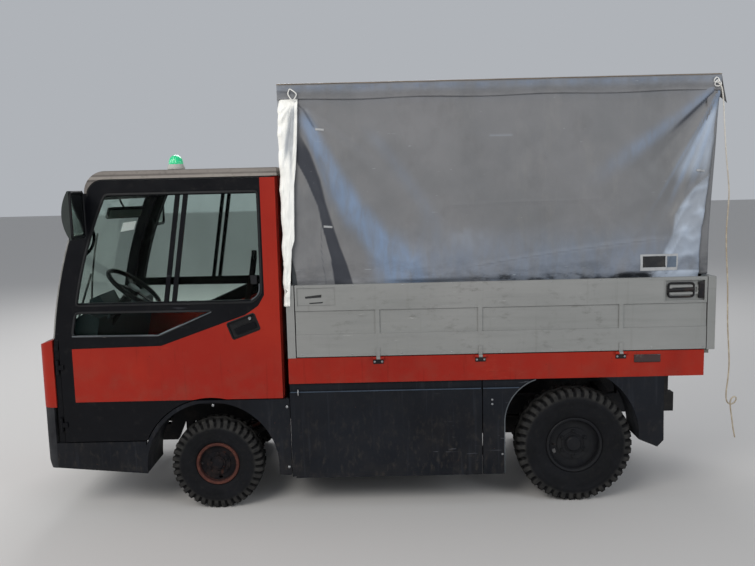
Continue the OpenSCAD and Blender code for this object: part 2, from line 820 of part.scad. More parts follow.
module door_panel(side) {
    color("#c8301f") hand(side) difference() {
        slab_y(door_in_y, side_y) intersection() {
            door_outline();
            red_outline(0);
        }
        slab_y(side_y - handle_depth, side_y + 1) translate(handle_centre) handle_shape(handle_size, 10);
    }
}

module door_frame(side) {
    hinge_l = 84;
    color("#17181a") hand(side) {
        slab_y(door_in_y + 8, side_y - 2) difference() {
            door_outline();
            red_outline(seat_gap);
            main_window();
            lower_window();
        }
        slab_y(door_in_y + 8, side_y - 10) pane_bars();
        // The handle's paddle, on the floor of its pocket
        slab_y(side_y - handle_depth + seat_gap, side_y - 1)
            translate(handle_centre + [-10, -10]) handle_shape([124, 36], 6);
        for (z = door_hinges) {
            translate([door_hinge_x, door_hinge_y, z]) {
                hinge_moving(hinge_l);
                difference() {
                    translate([-34, -4, -hinge_l / 6 + 0.5]) cube([34, 8, hinge_l / 3 - 1]);
                    cylinder(r = pin_r + pin_gap, h = hinge_l, center = true);
                }
            }
        }
    }
}

module door_glass(side) {
    color([0.35, 0.42, 0.42, 0.6]) hand(side) slab_y(door_in_y + 1, door_in_y + 7.7) difference() {
        intersection() {
            door_outline();
            behind_screen(80);
            sheet2([nose_x - 1312, belt_z + 20], [nose_x - 150, door_top_z - 50]);
        }
        red_outline(seat_gap);
    }
}

module mirror_unit(side) {
    head_x = nose_x - 306;
    head_y = side_y + 135;
    head_z = cab_z - 237;
    arm_rise = 73;
    color("#202123") hand(side) {
        translate([head_x, head_y, head_z]) intersection() {
            translate([-230, 0, 0]) sphere(r = 262, $fn = 96);
            cube([64, 200, 262], center = true);
        }
        for (z = [head_z - arm_rise, head_z + arm_rise]) {
            translate([head_x, 0, z]) bar_y(9, side_y - 2, head_y - 99);
        }
    }
}

module grab_handles() {
    bow_r = 130;
    mid_z = cab_z - 365;
    color("#1b1b1d") both_sides() slab_y(frame_in_y + 26, frame_in_y + 38) intersection() {
        translate([screen_x(mid_z) - 2, mid_z]) difference() {
            circle(r = bow_r, $fn = 64);
            circle(r = bow_r - 14, $fn = 64);
        }
        behind_screen(70 + seat_gap);
    }
}

// Thin liner over the front wheel, which follows the arch and stops under the cab deck
module arch_liner() {
    out_r = arch_r + liner_t;
    top_z = cab_deck_z - wall_t - seat_gap;
    difference() {
        union() {
            intersection() {
                translate([arch_x, arch_z]) circle(r = out_r, $fn = 96);
                sheet2([arch_x - out_r, arch_z], [arch_x + out_r, top_z]);
            }
            sheet2([arch_x - out_r, skirt_z + 20], [arch_x, arch_z]);
            sheet2([arch_x, sill_low_z], [arch_x + out_r, arch_z]);
        }
        translate([arch_x, arch_z]) circle(r = arch_r, $fn = 96);
        sheet2([arch_x - arch_r, 0], [arch_x + arch_r, arch_z]);
    }
}

// Panels beside the front wheel: sill, arch lip and the column behind the wheel
module arch_panel(side) {
    sill_front_x = nose_x - 72.5;
    column_x = skirt_front_x + 4;
    top_z = door_z - panel_gap;
    color("#232427") hand(side) {
        slab_y(side_y - 26, side_y) difference() {
            union() {
                polygon([
                    [column_x, skirt_z + 20], [column_x, top_z], [arch_x + 98, top_z],
                    [arch_x + arch_r + lip_w, arch_z], [arch_x + arch_r + lip_w, sill_low_z],
                ]);
                translate([arch_x, arch_z]) intersection() {
                    circle(r = arch_r + lip_w, $fn = 96);
                    sheet2([0, 0], [500, top_z - arch_z]);
                }
                polygon([
                    [arch_x + arch_r, sill_low_z - 3], [arch_x + arch_r, sill_low_z + sill_h],
                    [sill_front_x, sill_low_z + sill_h], [sill_front_x, sill_low_z + 43]
                ]);
            }
            translate([arch_x, arch_z]) circle(r = arch_r, $fn = 96);
            sheet2([arch_x - arch_r, 0], [arch_x + arch_r, arch_z]);
        }
        slab_y(kingpin_y - 100, side_y - 25) arch_liner();
        // Ledge that ties the column and the sill to the cab floor
        block([cab_rear_x + 28, door_in_y - 15.7, cab_deck_z - wall_t], [arch_x + 60, side_y - 26, cab_deck_z]);
        block([arch_x + arch_r + 8, door_in_y - 15.7, cab_floor_z - wall_t],
            [nose_x - 130, side_y - 26, cab_floor_z - 14]);
    }
}

// Load bed and its skirts

module skirt(side) {
    color("#2e3033") hand(side) {
        slab_y(side_y - 24, side_y - 1) difference() {
            sheet2([skirt_rear_x + 3, skirt_z], [skirt_front_x, ledge_z]);
            sheet2([skirt_front_x - 20, 0], [skirt_front_x + 1, skirt_z + 10]);
        }
        block([skirt_rear_x + 3, side_y - 24, ledge_z - 1],
            [skirt_front_x, side_y - ledge_in, bed_frame_z - seat_gap]);
        block([tub_rear_x + 20, tub_w / 2 + seat_gap, skirt_z + 30], [tub_front_x - 30, side_y - 23, skirt_z + 80]);
    }
}

module mudguard(side) {
    liner_in_y = rear_tyre_y - rear_tyre_w / 2 - 20;
    front_r = 262;
    front_bend = [guard_front_x - front_r, 500];
    rear_r = 412;
    rear_bend = [rear_axle_x + 51, 400];
    color("#2e3033") hand(side) {
        // Panel before the wheel, its arch edge a quarter round, and its top set in like the skirt's
        difference() {
            slab_y(side_y - 22, side_y - 1) difference() {
                sheet2([front_bend[0], skirt_z], [skirt_rear_x - 3, bed_frame_z - seat_gap]);
                translate(front_bend) circle(r = front_r, $fn = 96);
                sheet2([front_bend[0] - 1, 0], [guard_front_x, front_bend[1]]);
            }
            block([front_bend[0], side_y - ledge_in, ledge_z], [skirt_rear_x, side_y, bed_frame_z]);
        }
        slab_y(side_y - 22, side_y - 1) {
            difference() {
                polygon([
                    [guard_rear_x, bed_frame_z - seat_gap], [guard_rear_x - 6, 374], [rear_axle_x - 467, 335],
                    [rear_axle_x - 340, 390], [rear_axle_x - 120, bed_frame_z - seat_gap]
                ]);
                translate(rear_bend) circle(r = rear_r, $fn = 96);
            }
        }
        // Curved liners before and behind the wheel
        slab_y(liner_in_y, side_y - 21) {
            intersection() {
                translate(front_bend) difference() {
                    circle(r = front_r + liner_t, $fn = 96);
                    circle(r = front_r, $fn = 96);
                }
                sheet2([front_bend[0] + 30, front_bend[1]], [guard_front_x + liner_t, bed_frame_z - seat_gap]);
            }
            intersection() {
                translate(rear_bend) difference() {
                    circle(r = rear_r + liner_t, $fn = 96);
                    circle(r = rear_r, $fn = 96);
                }
                sheet2([rear_axle_x - 420, 380], [rear_axle_x - 150, bed_frame_z - seat_gap]);
            }
        }
        // Foot that ties it to the tub, behind the skirt's rear edge
        block([tub_rear_x - 34, tub_w / 2 - 40, 300], [tub_rear_x - seat_gap, side_y - 24 - seat_gap, 340]);
        block([tub_rear_x - 34, side_y - 30, 300], [skirt_rear_x - 3, side_y - 21, 340]);
    }
}

module bed_frame() {
    beam_z = bed_z - deck_t - 60;
    hinge_l = 66;
    color("#c8301f") {
        difference() {
            block([bed_frame_rear_x, -side_y, bed_frame_z], [bed_front_x, side_y, bed_z - deck_t - seat_gap]);
            block([bed_frame_rear_x + 45, -side_y + 45, bed_frame_z - 1], [bed_front_x - 45, side_y - 45, bed_z]);
            both_sides() translate([bed_frame_rear_x - 1, 400, bed_frame_z + 25]) cube([13, 170, 84]);
        }
        both_sides() block(
            [bed_frame_rear_x, side_y - 14, bed_z - deck_t - 1], [bed_front_x - 1, side_y, bed_z]);
        for (i = [1:6]) {
            x = bed_front_x + (bed_frame_rear_x - bed_front_x) * i / 7;
            block([x - 30, -side_y + 40, beam_z], [x + 30, side_y - 40, bed_z - deck_t - seat_gap]);
        }
        both_sides() for (d = dropside_hinges) {
            translate([side_front_x - d, side_hinge_y, gate_hinge_z]) rotate([0, 90, 0]) {
                hinge_fixed(hinge_l);
                for (end = [-1, 1]) {
                    translate([0, -barrel_r - 2, end * hinge_l / 3 - hinge_l / 6 + 0.5])
                        cube([7, barrel_r + 2, hinge_l / 3 - 1]);
                }
            }
        }
    }
}

module bed_floor() {
    hinge_l = 90;
    rear_x = bed_rear_x + 29;
    color("#8f8c84") {
        block([rear_x, -side_y + 14 + seat_gap, bed_z - deck_t], [bed_front_x - 1, side_y - 14 - seat_gap, bed_z]);
        // Ribbed sheet between the posts, where the load stands
        block([side_rear_x + 22, -side_y + 32, bed_z - 1], [side_front_x - 20, side_y - 32, bed_z + ribbed_t]);
        for (y = gate_hinges) {
            translate([bed_rear_x, y, gate_hinge_z]) {
                rotate([90, 0, 0]) hinge_fixed(hinge_l);
                for (end = [-1, 1]) {
                    translate([0, end * hinge_l / 3 - hinge_l / 6 + 0.5, -5])
                        cube([rear_x - bed_rear_x + 1, hinge_l / 3 - 1, 6]);
                }
            }
        }
    }
}

module corner_posts() {
    color("#8d9195") both_sides() {
        for (x = [bed_front_x - post_l, bed_rear_x]) {
            block([x, side_y - 50, bed_z + seat_gap], [x + post_l, side_y - 2, side_top_z]);
        }
    }
}

module headboard() {
    color("#9a9d9f") block(
        [bed_front_x - 30, -side_y + 50.5, bed_z + seat_gap], [bed_front_x - 5, side_y - 50.5, side_top_z]);
}

// Section of a drop side: full thickness at the rails, thinner in the middle band
module dropside_section(out_y) {
    rail_top = side_top_z - 147;
    rail_low = side_base_z + 128;
    polygon([
        [out_y - dropside_t, side_base_z], [out_y, side_base_z], [out_y, rail_low],
        [out_y - 7, rail_low + 4], [out_y - 7, rail_top - 4], [out_y, rail_top],
        [out_y, side_top_z - 4], [out_y - 4, side_top_z], [out_y - dropside_t, side_top_z]
    ]);
}

module dropside(side) {
    rail_top = side_top_z - 147;
    rail_low = side_base_z + 128;
    hinge_l = 66;
    color("#9a9d9f") hand(side) {
        difference() {
            union() {
                slab_x(side_rear_x, side_front_x) dropside_section(side_y);
                for (d = dropside_hinges) {
                    block([side_front_x - d - 12, side_y - 10, rail_low], [side_front_x - d + 12, side_y, rail_top]);
                }
            }
            // Latch pockets near both ends of the top rail
            block([side_rear_x + 12, side_y - 14, rail_top + 12], [side_rear_x + 240, side_y + 1, side_top_z - 16]);
            block([side_front_x - 230, side_y - 6, rail_top + 30], [side_front_x - 12, side_y + 1, side_top_z - 16]);
        }
        // Looped latch handle in the rear pocket
        translate([side_rear_x + 126, side_y - 14.5, (rail_top + side_top_z) / 2]) rotate([-90, 0, 0])
            linear_extrude(10) difference() {
                square([170, 54], center = true);
                square([142, 28], center = true);
            }
        for (d = dropside_hinges) {
            translate([side_front_x - d, side_hinge_y, gate_hinge_z]) rotate([0, 90, 0]) {
                hinge_moving(hinge_l);
                leaf_foot = side_base_z - gate_hinge_z;
                translate([-60, -barrel_r - 2, -hinge_l / 6 + 0.5]) cube([60 - leaf_foot, 6, hinge_l / 3 - 1]);
                translate([-leaf_foot - 1, -barrel_r + 0.2, -hinge_l / 6 + 0.5])
                    cube([leaf_foot + 1, barrel_r - pin_r - pin_gap - 0.2, hinge_l / 3 - 1]);
            }
        }
    }
}

module tailgate() {
    half_w = side_y - 50 - panel_gap;
    face_x = bed_rear_x + 2;
    rail_top = side_top_z - 147;
    rail_low = side_base_z + 128;
    hinge_l = 90;
    color("#9a9d9f") {
        slab_y(-half_w, half_w) polygon([
            [face_x, side_base_z], [face_x + dropside_t, side_base_z], [face_x + dropside_t, side_top_z],
            [face_x + 4, side_top_z], [face_x, side_top_z - 4], [face_x, rail_top],
            [face_x + 7, rail_top - 4], [face_x + 7, rail_low + 4], [face_x, rail_low]
        ]);
        for (y = gate_hinges) {
            block([face_x, y - 12, rail_low], [face_x + 10, y + 12, rail_top]);
            translate([bed_rear_x, y, gate_hinge_z]) {
                rotate([90, 0, 0]) hinge_moving(hinge_l);
                difference() {
                    translate([-3, -hinge_l / 6 + 0.5, 0]) cube([5.2, hinge_l / 3 - 1, 60]);
                    rotate([90, 0, 0]) cylinder(r = pin_r + pin_gap, h = hinge_l, center = true);
                }
            }
        }
    }
}

module tail_lamps() {
    color("#8a1f1c") both_sides()
        translate([bed_frame_rear_x + 1, 400 + seat_gap, bed_frame_z + 25 + seat_gap])
            cube([11 - seat_gap, 170 - 2 * seat_gap, 84 - 2 * seat_gap]);
}

module tow_coupling() {
    eye_x = bed_frame_rear_x + 30;
    jaw_z = rail_z + 60;
    color("#2b2d31") difference() {
        union() {
            block([bed_frame_rear_x + 68, -rail_y + seat_gap, rail_z - 60],
                [bed_frame_rear_x + 80 - seat_gap, rail_y - seat_gap, rail_z + 110]);
            for (z = [jaw_z - 60, jaw_z + 28]) {
                translate([eye_x, 0, z]) cylinder(r = 42, h = 22);
                block([eye_x, -42, z], [bed_frame_rear_x + 69, 42, z + 22]);
            }
        }
        translate([eye_x, 0, jaw_z - 100]) cylinder(r = tow_pin_r, h = 220);
    }
}

module canopy_frame() {
    front_x = bed_front_x - 34;
    rear_x = bed_rear_x + 38;
    half = bow_w / 2;
    roof_z = hoop_top_z - half;
    color("#7f858a") {
        both_sides() {
            for (x = [front_x - half, rear_x + half]) {
                block([x - half, hoop_y - half, bed_z + seat_gap], [x + half, hoop_y + half, hoop_top_z]);
            }
            block([rear_x, hoop_y - half, roof_z - half], [front_x, hoop_y + half, hoop_top_z]);
        }
        for (i = [0:3]) {
            x = rear_x + half + (front_x - rear_x - bow_w) * i / 3;
            block([x - half, -hoop_y, roof_z - half], [x + half, hoop_y, hoop_top_z]);
        }
    }
}

// Canopy cloth

module cover_roof() {
    color("#a9afb3") block(
        [cover_rear_x, -side_y + 2, canopy_z - cloth_t], [cover_front_x, side_y - 2, canopy_z]);
}

// Side sheet: wide above the posts, narrower where it is tucked between them
module side_sheet_outline() {
    tuck_z = side_top_z - 76;
    polygon([
        [cover_rear_x + 8, hoop_top_z], [cover_front_x - 8, hoop_top_z],
        [cover_front_x - 8, side_top_z + 12], [side_front_x - 2, side_top_z + 4], [side_front_x - 2, tuck_z],
        [side_rear_x + 2, tuck_z], [side_rear_x + 2, side_top_z + 4], [cover_rear_x + 8, side_top_z + 12]
    ]);
}

module cover_sides() {
    lean = 1.1;
    top_y = side_y - 12;
    color("#a3a9ae") both_sides() {
        translate([0, top_y, hoop_top_z]) rotate([-lean, 0, 0]) translate([0, 0, -hoop_top_z])
            slab_y(-cloth_t, 0) side_sheet_outline();
        // Loose corner flap beside the front post
        slab_y(side_y - 2 + seat_gap, side_y - 2 + seat_gap + cloth_t) polygon([
            [cover_front_x, canopy_z], [cover_front_x - 120, canopy_z],
            [cover_front_x - 116, canopy_z - 260], [bed_front_x - 34, side_top_z - 110],
            [bed_front_x + 16, side_top_z - 110]
        ]);
    }
}

module cover_ends() {
    half_w = side_y - 4;
    color("#9ea4a9") {
        block([cover_front_x - cloth_t, -half_w, bed_z + 200], [cover_front_x, half_w, hoop_top_z]);
        block([cover_rear_x + 1, -half_w, side_top_z + 6], [cover_rear_x + 1 + cloth_t, half_w, hoop_top_z]);
    }
}

// Rope: a tube swept along a smooth curve through the route's points

// Point at t between b and c on the curve through a, b, c and d
function curve_point(a, b, c, d, t) =
    0.5 * (2 * b + (c - a) * t + (2 * a - 5 * b + 4 * c - d) * t * t + (3 * b - a - 3 * c + d) * t * t * t);

function unit(v) = v / norm(v);

module rope() {
    last = len(rope_points) - 1;
    steps = 2;
    sides = 8;
    path = [
        for (i = [0:last - 1], s = [0:steps - 1])
            curve_point(rope_points[max(i - 1, 0)], rope_points[i], rope_points[i + 1],
                rope_points[min(i + 2, last)], s / steps),
        rope_points[last]
    ];
    end = len(path) - 1;
    ring = [
        for (i = [0:end])
            let (dir = unit(path[min(i + 1, end)] - path[max(i - 1, 0)]),
                u = unit(cross(dir, [0, 1, 0])), v = cross(dir, u))
            for (k = [0:sides - 1])
                path[i] + rope_d / 2 * (u * cos(k * 360 / sides) + v * sin(k * 360 / sides))
    ];
    walls = [
        for (i = [0:end - 1], k = [0:sides - 1])
            let (k2 = (k + 1) % sides)
            [i * sides + k, (i + 1) * sides + k, (i + 1) * sides + k2, i * sides + k2]
    ];
    caps = [[for (k = [0:sides - 1]) k], [for (k = [sides - 1:-1:0]) end * sides + k]];
    color("#b8ad9a") polyhedron(ring, concat(walls, caps));
}

chassis();
battery();
drive_motor();
front_axle();
rear_axle();
knuckle(1);  // knuckle_left
knuckle(-1);  // knuckle_right
tie_rod();
front_tyre(1);  // front_tyre_left
front_tyre(-1);  // front_tyre_right
front_rim(1);  // front_rim_left
front_rim(-1);  // front_rim_right
rear_tyre(1);  // rear_tyre_left
rear_tyre(-1);  // rear_tyre_right
rear_rim(1);  // rear_rim_left
rear_rim(-1);  // rear_rim_right
cab_floor();
cab_frame();
cab_rear_wall();
cab_roof();
windscreen();
front_panel();
front_bumper();
headlamps();
beacon();
dashboard();
steering_column();
steering_wheel();
seat_base();
seat(1);  // seat_left
seat(-1);  // seat_right
door_panel(1);  // door_panel_left
door_panel(-1);  // door_panel_right
door_frame(1);  // door_frame_left
door_frame(-1);  // door_frame_right
door_glass(1);  // door_glass_left
door_glass(-1);  // door_glass_right
mirror_unit(1);  // mirror_left
mirror_unit(-1);  // mirror_right
grab_handles();
arch_panel(1);  // arch_panel_left
arch_panel(-1);  // arch_panel_right
skirt(1);  // skirt_left
skirt(-1);  // skirt_right
mudguard(1);  // mudguard_left
mudguard(-1);  // mudguard_right
bed_frame();
bed_floor();
corner_posts();
headboard();
dropside(1);  // dropside_left
dropside(-1);  // dropside_right
tailgate();
tail_lamps();
tow_coupling();
canopy_frame();
cover_roof();
cover_sides();
cover_ends();
rope();
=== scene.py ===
"""Looks of the airport baggage tug: surfaces, cloth, rope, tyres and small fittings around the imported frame."""
import math

import bmesh
import bpy
import numpy as np
from mathutils import Matrix, Vector


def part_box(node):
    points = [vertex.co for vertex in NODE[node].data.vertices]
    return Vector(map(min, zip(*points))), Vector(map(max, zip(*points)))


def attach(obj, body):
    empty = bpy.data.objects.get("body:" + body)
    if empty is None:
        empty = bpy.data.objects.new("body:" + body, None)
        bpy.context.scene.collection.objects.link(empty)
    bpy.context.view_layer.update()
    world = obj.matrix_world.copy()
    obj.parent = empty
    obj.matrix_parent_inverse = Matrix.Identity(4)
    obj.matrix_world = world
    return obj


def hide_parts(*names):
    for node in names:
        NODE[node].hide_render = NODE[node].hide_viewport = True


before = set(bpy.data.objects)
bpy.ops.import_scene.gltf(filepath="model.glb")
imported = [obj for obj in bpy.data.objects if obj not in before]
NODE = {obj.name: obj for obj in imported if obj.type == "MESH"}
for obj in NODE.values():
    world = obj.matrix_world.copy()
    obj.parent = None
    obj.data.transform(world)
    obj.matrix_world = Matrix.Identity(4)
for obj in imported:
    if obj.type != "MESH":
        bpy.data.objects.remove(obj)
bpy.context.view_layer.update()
SIDES = (("left", 1), ("right", -1))
FRONT_AXLE, REAR_AXLE = (0.947, 0.270), (-1.151, 0.338)

# Camera: place and angles worked out from the photograph's straight edges
CAMERA_PLACE = (-0.055, 4.990, 1.874)
CAMERA_YAW, CAMERA_PITCH, CAMERA_ROLL = 0.47, 7.17, 1.36
PHOTO_WIDTH_PX, FOCAL_PX = 755, 773.8

# The rope's route, from the canopy's rear corner down to its bare end
ROPE_POINTS = [
    (-1.896, 0.639, 2.396), (-1.900, 0.648, 2.394), (-1.908, 0.660, 2.384), (-1.919, 0.667, 2.362),
    (-1.926, 0.668, 2.325), (-1.932, 0.669, 2.270), (-1.936, 0.671, 2.200),
    (-1.940, 0.675, 2.130), (-1.945, 0.679, 2.050), (-1.951, 0.683, 1.970), (-1.960, 0.688, 1.880),
    (-1.966, 0.692, 1.790), (-1.962, 0.696, 1.700), (-1.955, 0.701, 1.600), (-1.955, 0.706, 1.490),
    (-1.960, 0.711, 1.380), (-1.965, 0.716, 1.270), (-1.966, 0.721, 1.160), (-1.968, 0.726, 1.050),
    (-1.974, 0.731, 0.940), (-1.978, 0.736, 0.840), (-1.972, 0.740, 0.750), (-1.964, 0.743, 0.680),
    (-1.968, 0.741, 0.630), (-1.990, 0.736, 0.606), (-2.014, 0.738, 0.616), (-2.020, 0.746, 0.640),
    (-2.002, 0.756, 0.655), (-1.982, 0.760, 0.634), (-1.984, 0.758, 0.590), (-1.992, 0.758, 0.540),
    (-2.000, 0.760, 0.480), (-2.012, 0.762, 0.420),
]
ROPE_DIAMETER = 0.008


# Camera and light

def make_camera():
    """Camera at the photograph's viewpoint, looking along -Y, turned by yaw, pitch and roll."""
    data = bpy.data.cameras.new("camera")
    data.sensor_width = 36.0
    data.lens = FOCAL_PX / PHOTO_WIDTH_PX * data.sensor_width
    camera = bpy.data.objects.new("camera", data)
    yaw, pitch, roll = (math.radians(a) for a in (CAMERA_YAW, CAMERA_PITCH, CAMERA_ROLL))
    turn = Matrix.Rotation(yaw, 3, "Z")
    ahead, right, down = turn @ Vector((0, -1, 0)), turn @ Vector((-1, 0, 0)), Vector((0, 0, -1))
    ahead, down = (ahead * math.cos(pitch) + down * math.sin(pitch),
                   down * math.cos(pitch) - ahead * math.sin(pitch))
    right, down = (right * math.cos(roll) + down * math.sin(roll),
                   down * math.cos(roll) - right * math.sin(roll))
    axes = Matrix((right, -down, -ahead)).transposed()
    camera.matrix_world = Matrix.Translation(CAMERA_PLACE) @ axes.to_4x4()
    bpy.context.scene.collection.objects.link(camera)
    bpy.context.scene.camera = camera


def area_light(name, place, target, size, watts, colour=(1, 1, 1)):
    data = bpy.data.lights.new(name, "AREA")
    data.shape = "RECTANGLE"
    data.size, data.size_y = size
    data.energy = watts
    data.color = colour
    light = bpy.data.objects.new(name, data)
    light.location = place
    light.rotation_euler = (Vector(target) - Vector(place)).to_track_quat("-Z", "Y").to_euler()
    bpy.context.scene.collection.objects.link(light)


def make_stage():
    """Pale floor, white surroundings and soft studio lamps."""
    size = 60.0
    mesh = bpy.data.meshes.new("floor")
    mesh.from_pydata([(-size, -size, 0), (size, -size, 0), (size, size, 0), (-size, size, 0)], [],
                     [(0, 1, 2, 3)])
    floor = bpy.data.objects.new("floor", mesh)
    bpy.context.scene.collection.objects.link(floor)
    material = bpy.data.materials.new("pale_floor")
    material.use_nodes = True
    shader = material.node_tree.nodes["Principled BSDF"]
    shader.inputs["Base Color"].default_value = (0.52, 0.51, 0.50, 1)
    shader.inputs["Roughness"].default_value = 0.9
    mesh.materials.append(material)
    world = bpy.data.worlds.new("studio")
    world.use_nodes = True
    world.node_tree.nodes["Background"].inputs["Color"].default_value = (0.86, 0.90, 0.96, 1)
    world.node_tree.nodes["Background"].inputs["Strength"].default_value = 0.50
    bpy.context.scene.world = world
    area_light("key", (4.5, 7.0, 6.5), (0.0, 0.0, 1.0), (5.0, 4.0), 500, (1.0, 0.97, 0.92))
    area_light("fill", (-6.0, 6.0, 4.0), (-0.5, 0.3, 1.2), (4.0, 4.0), 190, (0.92, 0.96, 1.0))
    area_light("back", (1.0, -7.5, 6.5), (0.0, -0.3, 1.2), (6.0, 4.0), 450)
    area_light("nose", (8.0, 0.0, 3.5), (1.5, 0.0, 1.2), (3.5, 3.5), 110)
    scene = bpy.context.scene
    scene.view_settings.view_transform = "Standard"


# Materials

def tint(text):
    """Linear colour of a hex string such as c8321f."""
    levels = [int(text[i:i + 2], 16) / 255 for i in (0, 2, 4)]
    linear = [v / 12.92 if v <= 0.04045 else ((v + 0.055) / 1.055) ** 2.4 for v in levels]
    return (*linear, 1.0)


class Finish:
    """A procedural material, with short calls that add nodes and hand back their outputs."""

    def __init__(self, name, colour, roughness=0.5, **sockets):
        self.material = bpy.data.materials.new(name)
        self.material.use_nodes = True
        self.tree = self.material.node_tree
        self.shader = self.tree.nodes["Principled BSDF"]
        self.shader.inputs["Roughness"].default_value = roughness
        self.shader.inputs["Specular IOR Level"].default_value = 0.25
        for socket, value in sockets.items():
            self.shader.inputs[socket.replace("_", " ")].default_value = value
        self.colour = tint(colour)
        self.place = self.add("ShaderNodeTexCoord").outputs["Object"]
        self.height = None

    def add(self, kind, **settings):
        node = self.tree.nodes.new(kind)
        for key, value in settings.items():
            setattr(node, key, value)
        return node

    def put(self, socket, value):
        """Links an output to a socket, or sets a plain value on it."""
        if isinstance(value, bpy.types.NodeSocket):
            self.tree.links.new(value, socket)
        else:
            socket.default_value = value

    def stretched(self, stretch, shift=(0, 0, 0)):
        """Object coordinates, scaled by one factor per axis."""
        node = self.add("ShaderNodeMapping")
        self.put(node.inputs["Vector"], self.place)
        node.inputs["Scale"].default_value = stretch
        node.inputs["Location"].default_value = shift
        return node.outputs["Vector"]

    def noise(self, scale, detail=4.0, rough=0.55, stretch=None, shift=(0, 0, 0), warp=0.0):
        node = self.add("ShaderNodeTexNoise")
        self.put(node.inputs["Vector"], self.stretched(stretch or (1, 1, 1), shift))
        node.inputs["Scale"].default_value = scale
        node.inputs["Detail"].default_value = detail
        node.inputs["Roughness"].default_value = rough
        node.inputs["Distortion"].default_value = warp
        return node.outputs["Fac"]

    def cells(self, scale):
        node = self.add("ShaderNodeTexVoronoi", feature="F1")
        self.put(node.inputs["Vector"], self.stretched((1, 1, 1)))
        node.inputs["Scale"].default_value = scale
        return node.outputs["Distance"]

    def waves(self, scale, axis):
        node = self.add("ShaderNodeTexWave", bands_direction=axis)
        self.put(node.inputs["Vector"], self.stretched((1, 1, 1)))
        node.inputs["Scale"].default_value = scale
        node.inputs["Distortion"].default_value = 0.0
        return node.outputs["Fac"]

    def axis(self, name):
        node = self.add("ShaderNodeSeparateXYZ")
        self.put(node.inputs[0], self.place)
        return node.outputs[name]

    def distance(self, x, z):
        """Distance from the sideways axis through x and z."""
        node = self.add("ShaderNodeVectorMath", operation="LENGTH")
        self.put(node.inputs[0], self.stretched((1, 0, 1), (-x, 0, -z)))
        return node.outputs["Value"]

    def attribute(self, name):
        return self.add("ShaderNodeAttribute", attribute_name=name).outputs["Fac"]

    def span(self, value, low, high, to_low=0.0, to_high=1.0):
        """Maps low..high to to_low..to_high, smooth and clamped."""
        node = self.add("ShaderNodeMapRange", interpolation_type="SMOOTHSTEP")
        self.put(node.inputs["Value"], value)
        for key, number in zip(("From Min", "From Max", "To Min", "To Max"), (low, high, to_low, to_high)):
            node.inputs[key].default_value = number
        return node.outputs["Result"]

    def sum(self, kind, a, b):
        node = self.add("ShaderNodeMath", operation=kind)
        self.put(node.inputs[0], a)
        self.put(node.inputs[1], b)
        return node.outputs[0]

    def times(self, a, b):
        return self.sum("MULTIPLY", a, b)

    def mix(self, share, a, b):
        """Colour a turning into colour b as share goes from 0 to 1."""
        node = self.add("ShaderNodeMix", data_type="RGBA")
        self.put(node.inputs["Factor"], share)
        self.put(node.inputs["A"], a)
        self.put(node.inputs["B"], b)
        return node.outputs["Result"]

    def over(self, share, colour):
        """Lays another colour over what is there, where share is above 0."""
        self.colour = self.mix(share, self.colour, tint(colour) if isinstance(colour, str) else colour)

    def rough(self, value):
        self.put(self.shader.inputs["Roughness"], value)

    def bump(self, height, distance=0.001, strength=1.0):
        """Adds a layer of relief; distance is its depth in metres."""
        node = self.add("ShaderNodeBump")
        node.inputs["Strength"].default_value = strength
        node.inputs["Distance"].default_value = distance
        self.put(node.inputs["Height"], height)
        if self.height is not None:
            self.put(node.inputs["Normal"], self.height)
        self.height = node.outputs["Normal"]

    def done(self):
        self.put(self.shader.inputs["Base Color"], self.colour)
        if self.height is not None:
            self.put(self.shader.inputs["Normal"], self.height)
        return self.material


def red_paint():
    """Faded scarlet enamel: cloudy fading, dust low down, fine runs, chips and rubbed places with scratches."""
    f = Finish("faded_red_paint", "8e231a", 0.44, Specular_IOR_Level=0.12)
    f.over(f.span(f.noise(1.3, 5), 0.38, 0.68), "9a2a1c")
    f.over(f.span(f.noise(2.6, 6, stretch=(1, 1, 0.35)), 0.52, 0.75, 0, 0.5), "7a1d15")
    dust = f.times(f.span(f.axis("Z"), 0.62, 1.05, 0.34, 0.03), f.span(f.noise(9, 6, 0.65), 0.38, 0.78))
    f.over(dust, "6f4a3d")
    runs = f.times(f.span(f.noise(14, 4, stretch=(3, 3, 0.18)), 0.58, 0.74), 0.2)
    f.over(runs, "5a1a12")
    rubbed = f.span(f.noise(1.9, 3, shift=(0.4, 0, 0.2)), 0.54, 0.66)
    f.over(f.times(rubbed, f.span(f.noise(34, 6, 0.7, stretch=(0.6, 1, 1.4)), 0.5, 0.72, 0, 0.28)), "ad4c3b")
    scratch = f.span(f.noise(34, 2, 0.4, stretch=(0.16, 1, 3.2), warp=1.4), 0.70, 0.73)
    f.over(f.times(f.times(scratch, rubbed), 0.5), "571a13")
    chips = f.span(f.noise(70, 3, 0.5), 0.745, 0.76)
    f.over(f.times(chips, 0.8), "3a1d17")
    f.rough(f.span(f.noise(5, 5), 0.3, 0.8, 0.34, 0.58))
    f.bump(f.noise(260, 3), 0.00012)
    f.bump(f.noise(3.2, 3), 0.0022, 0.35)
    return f.done()


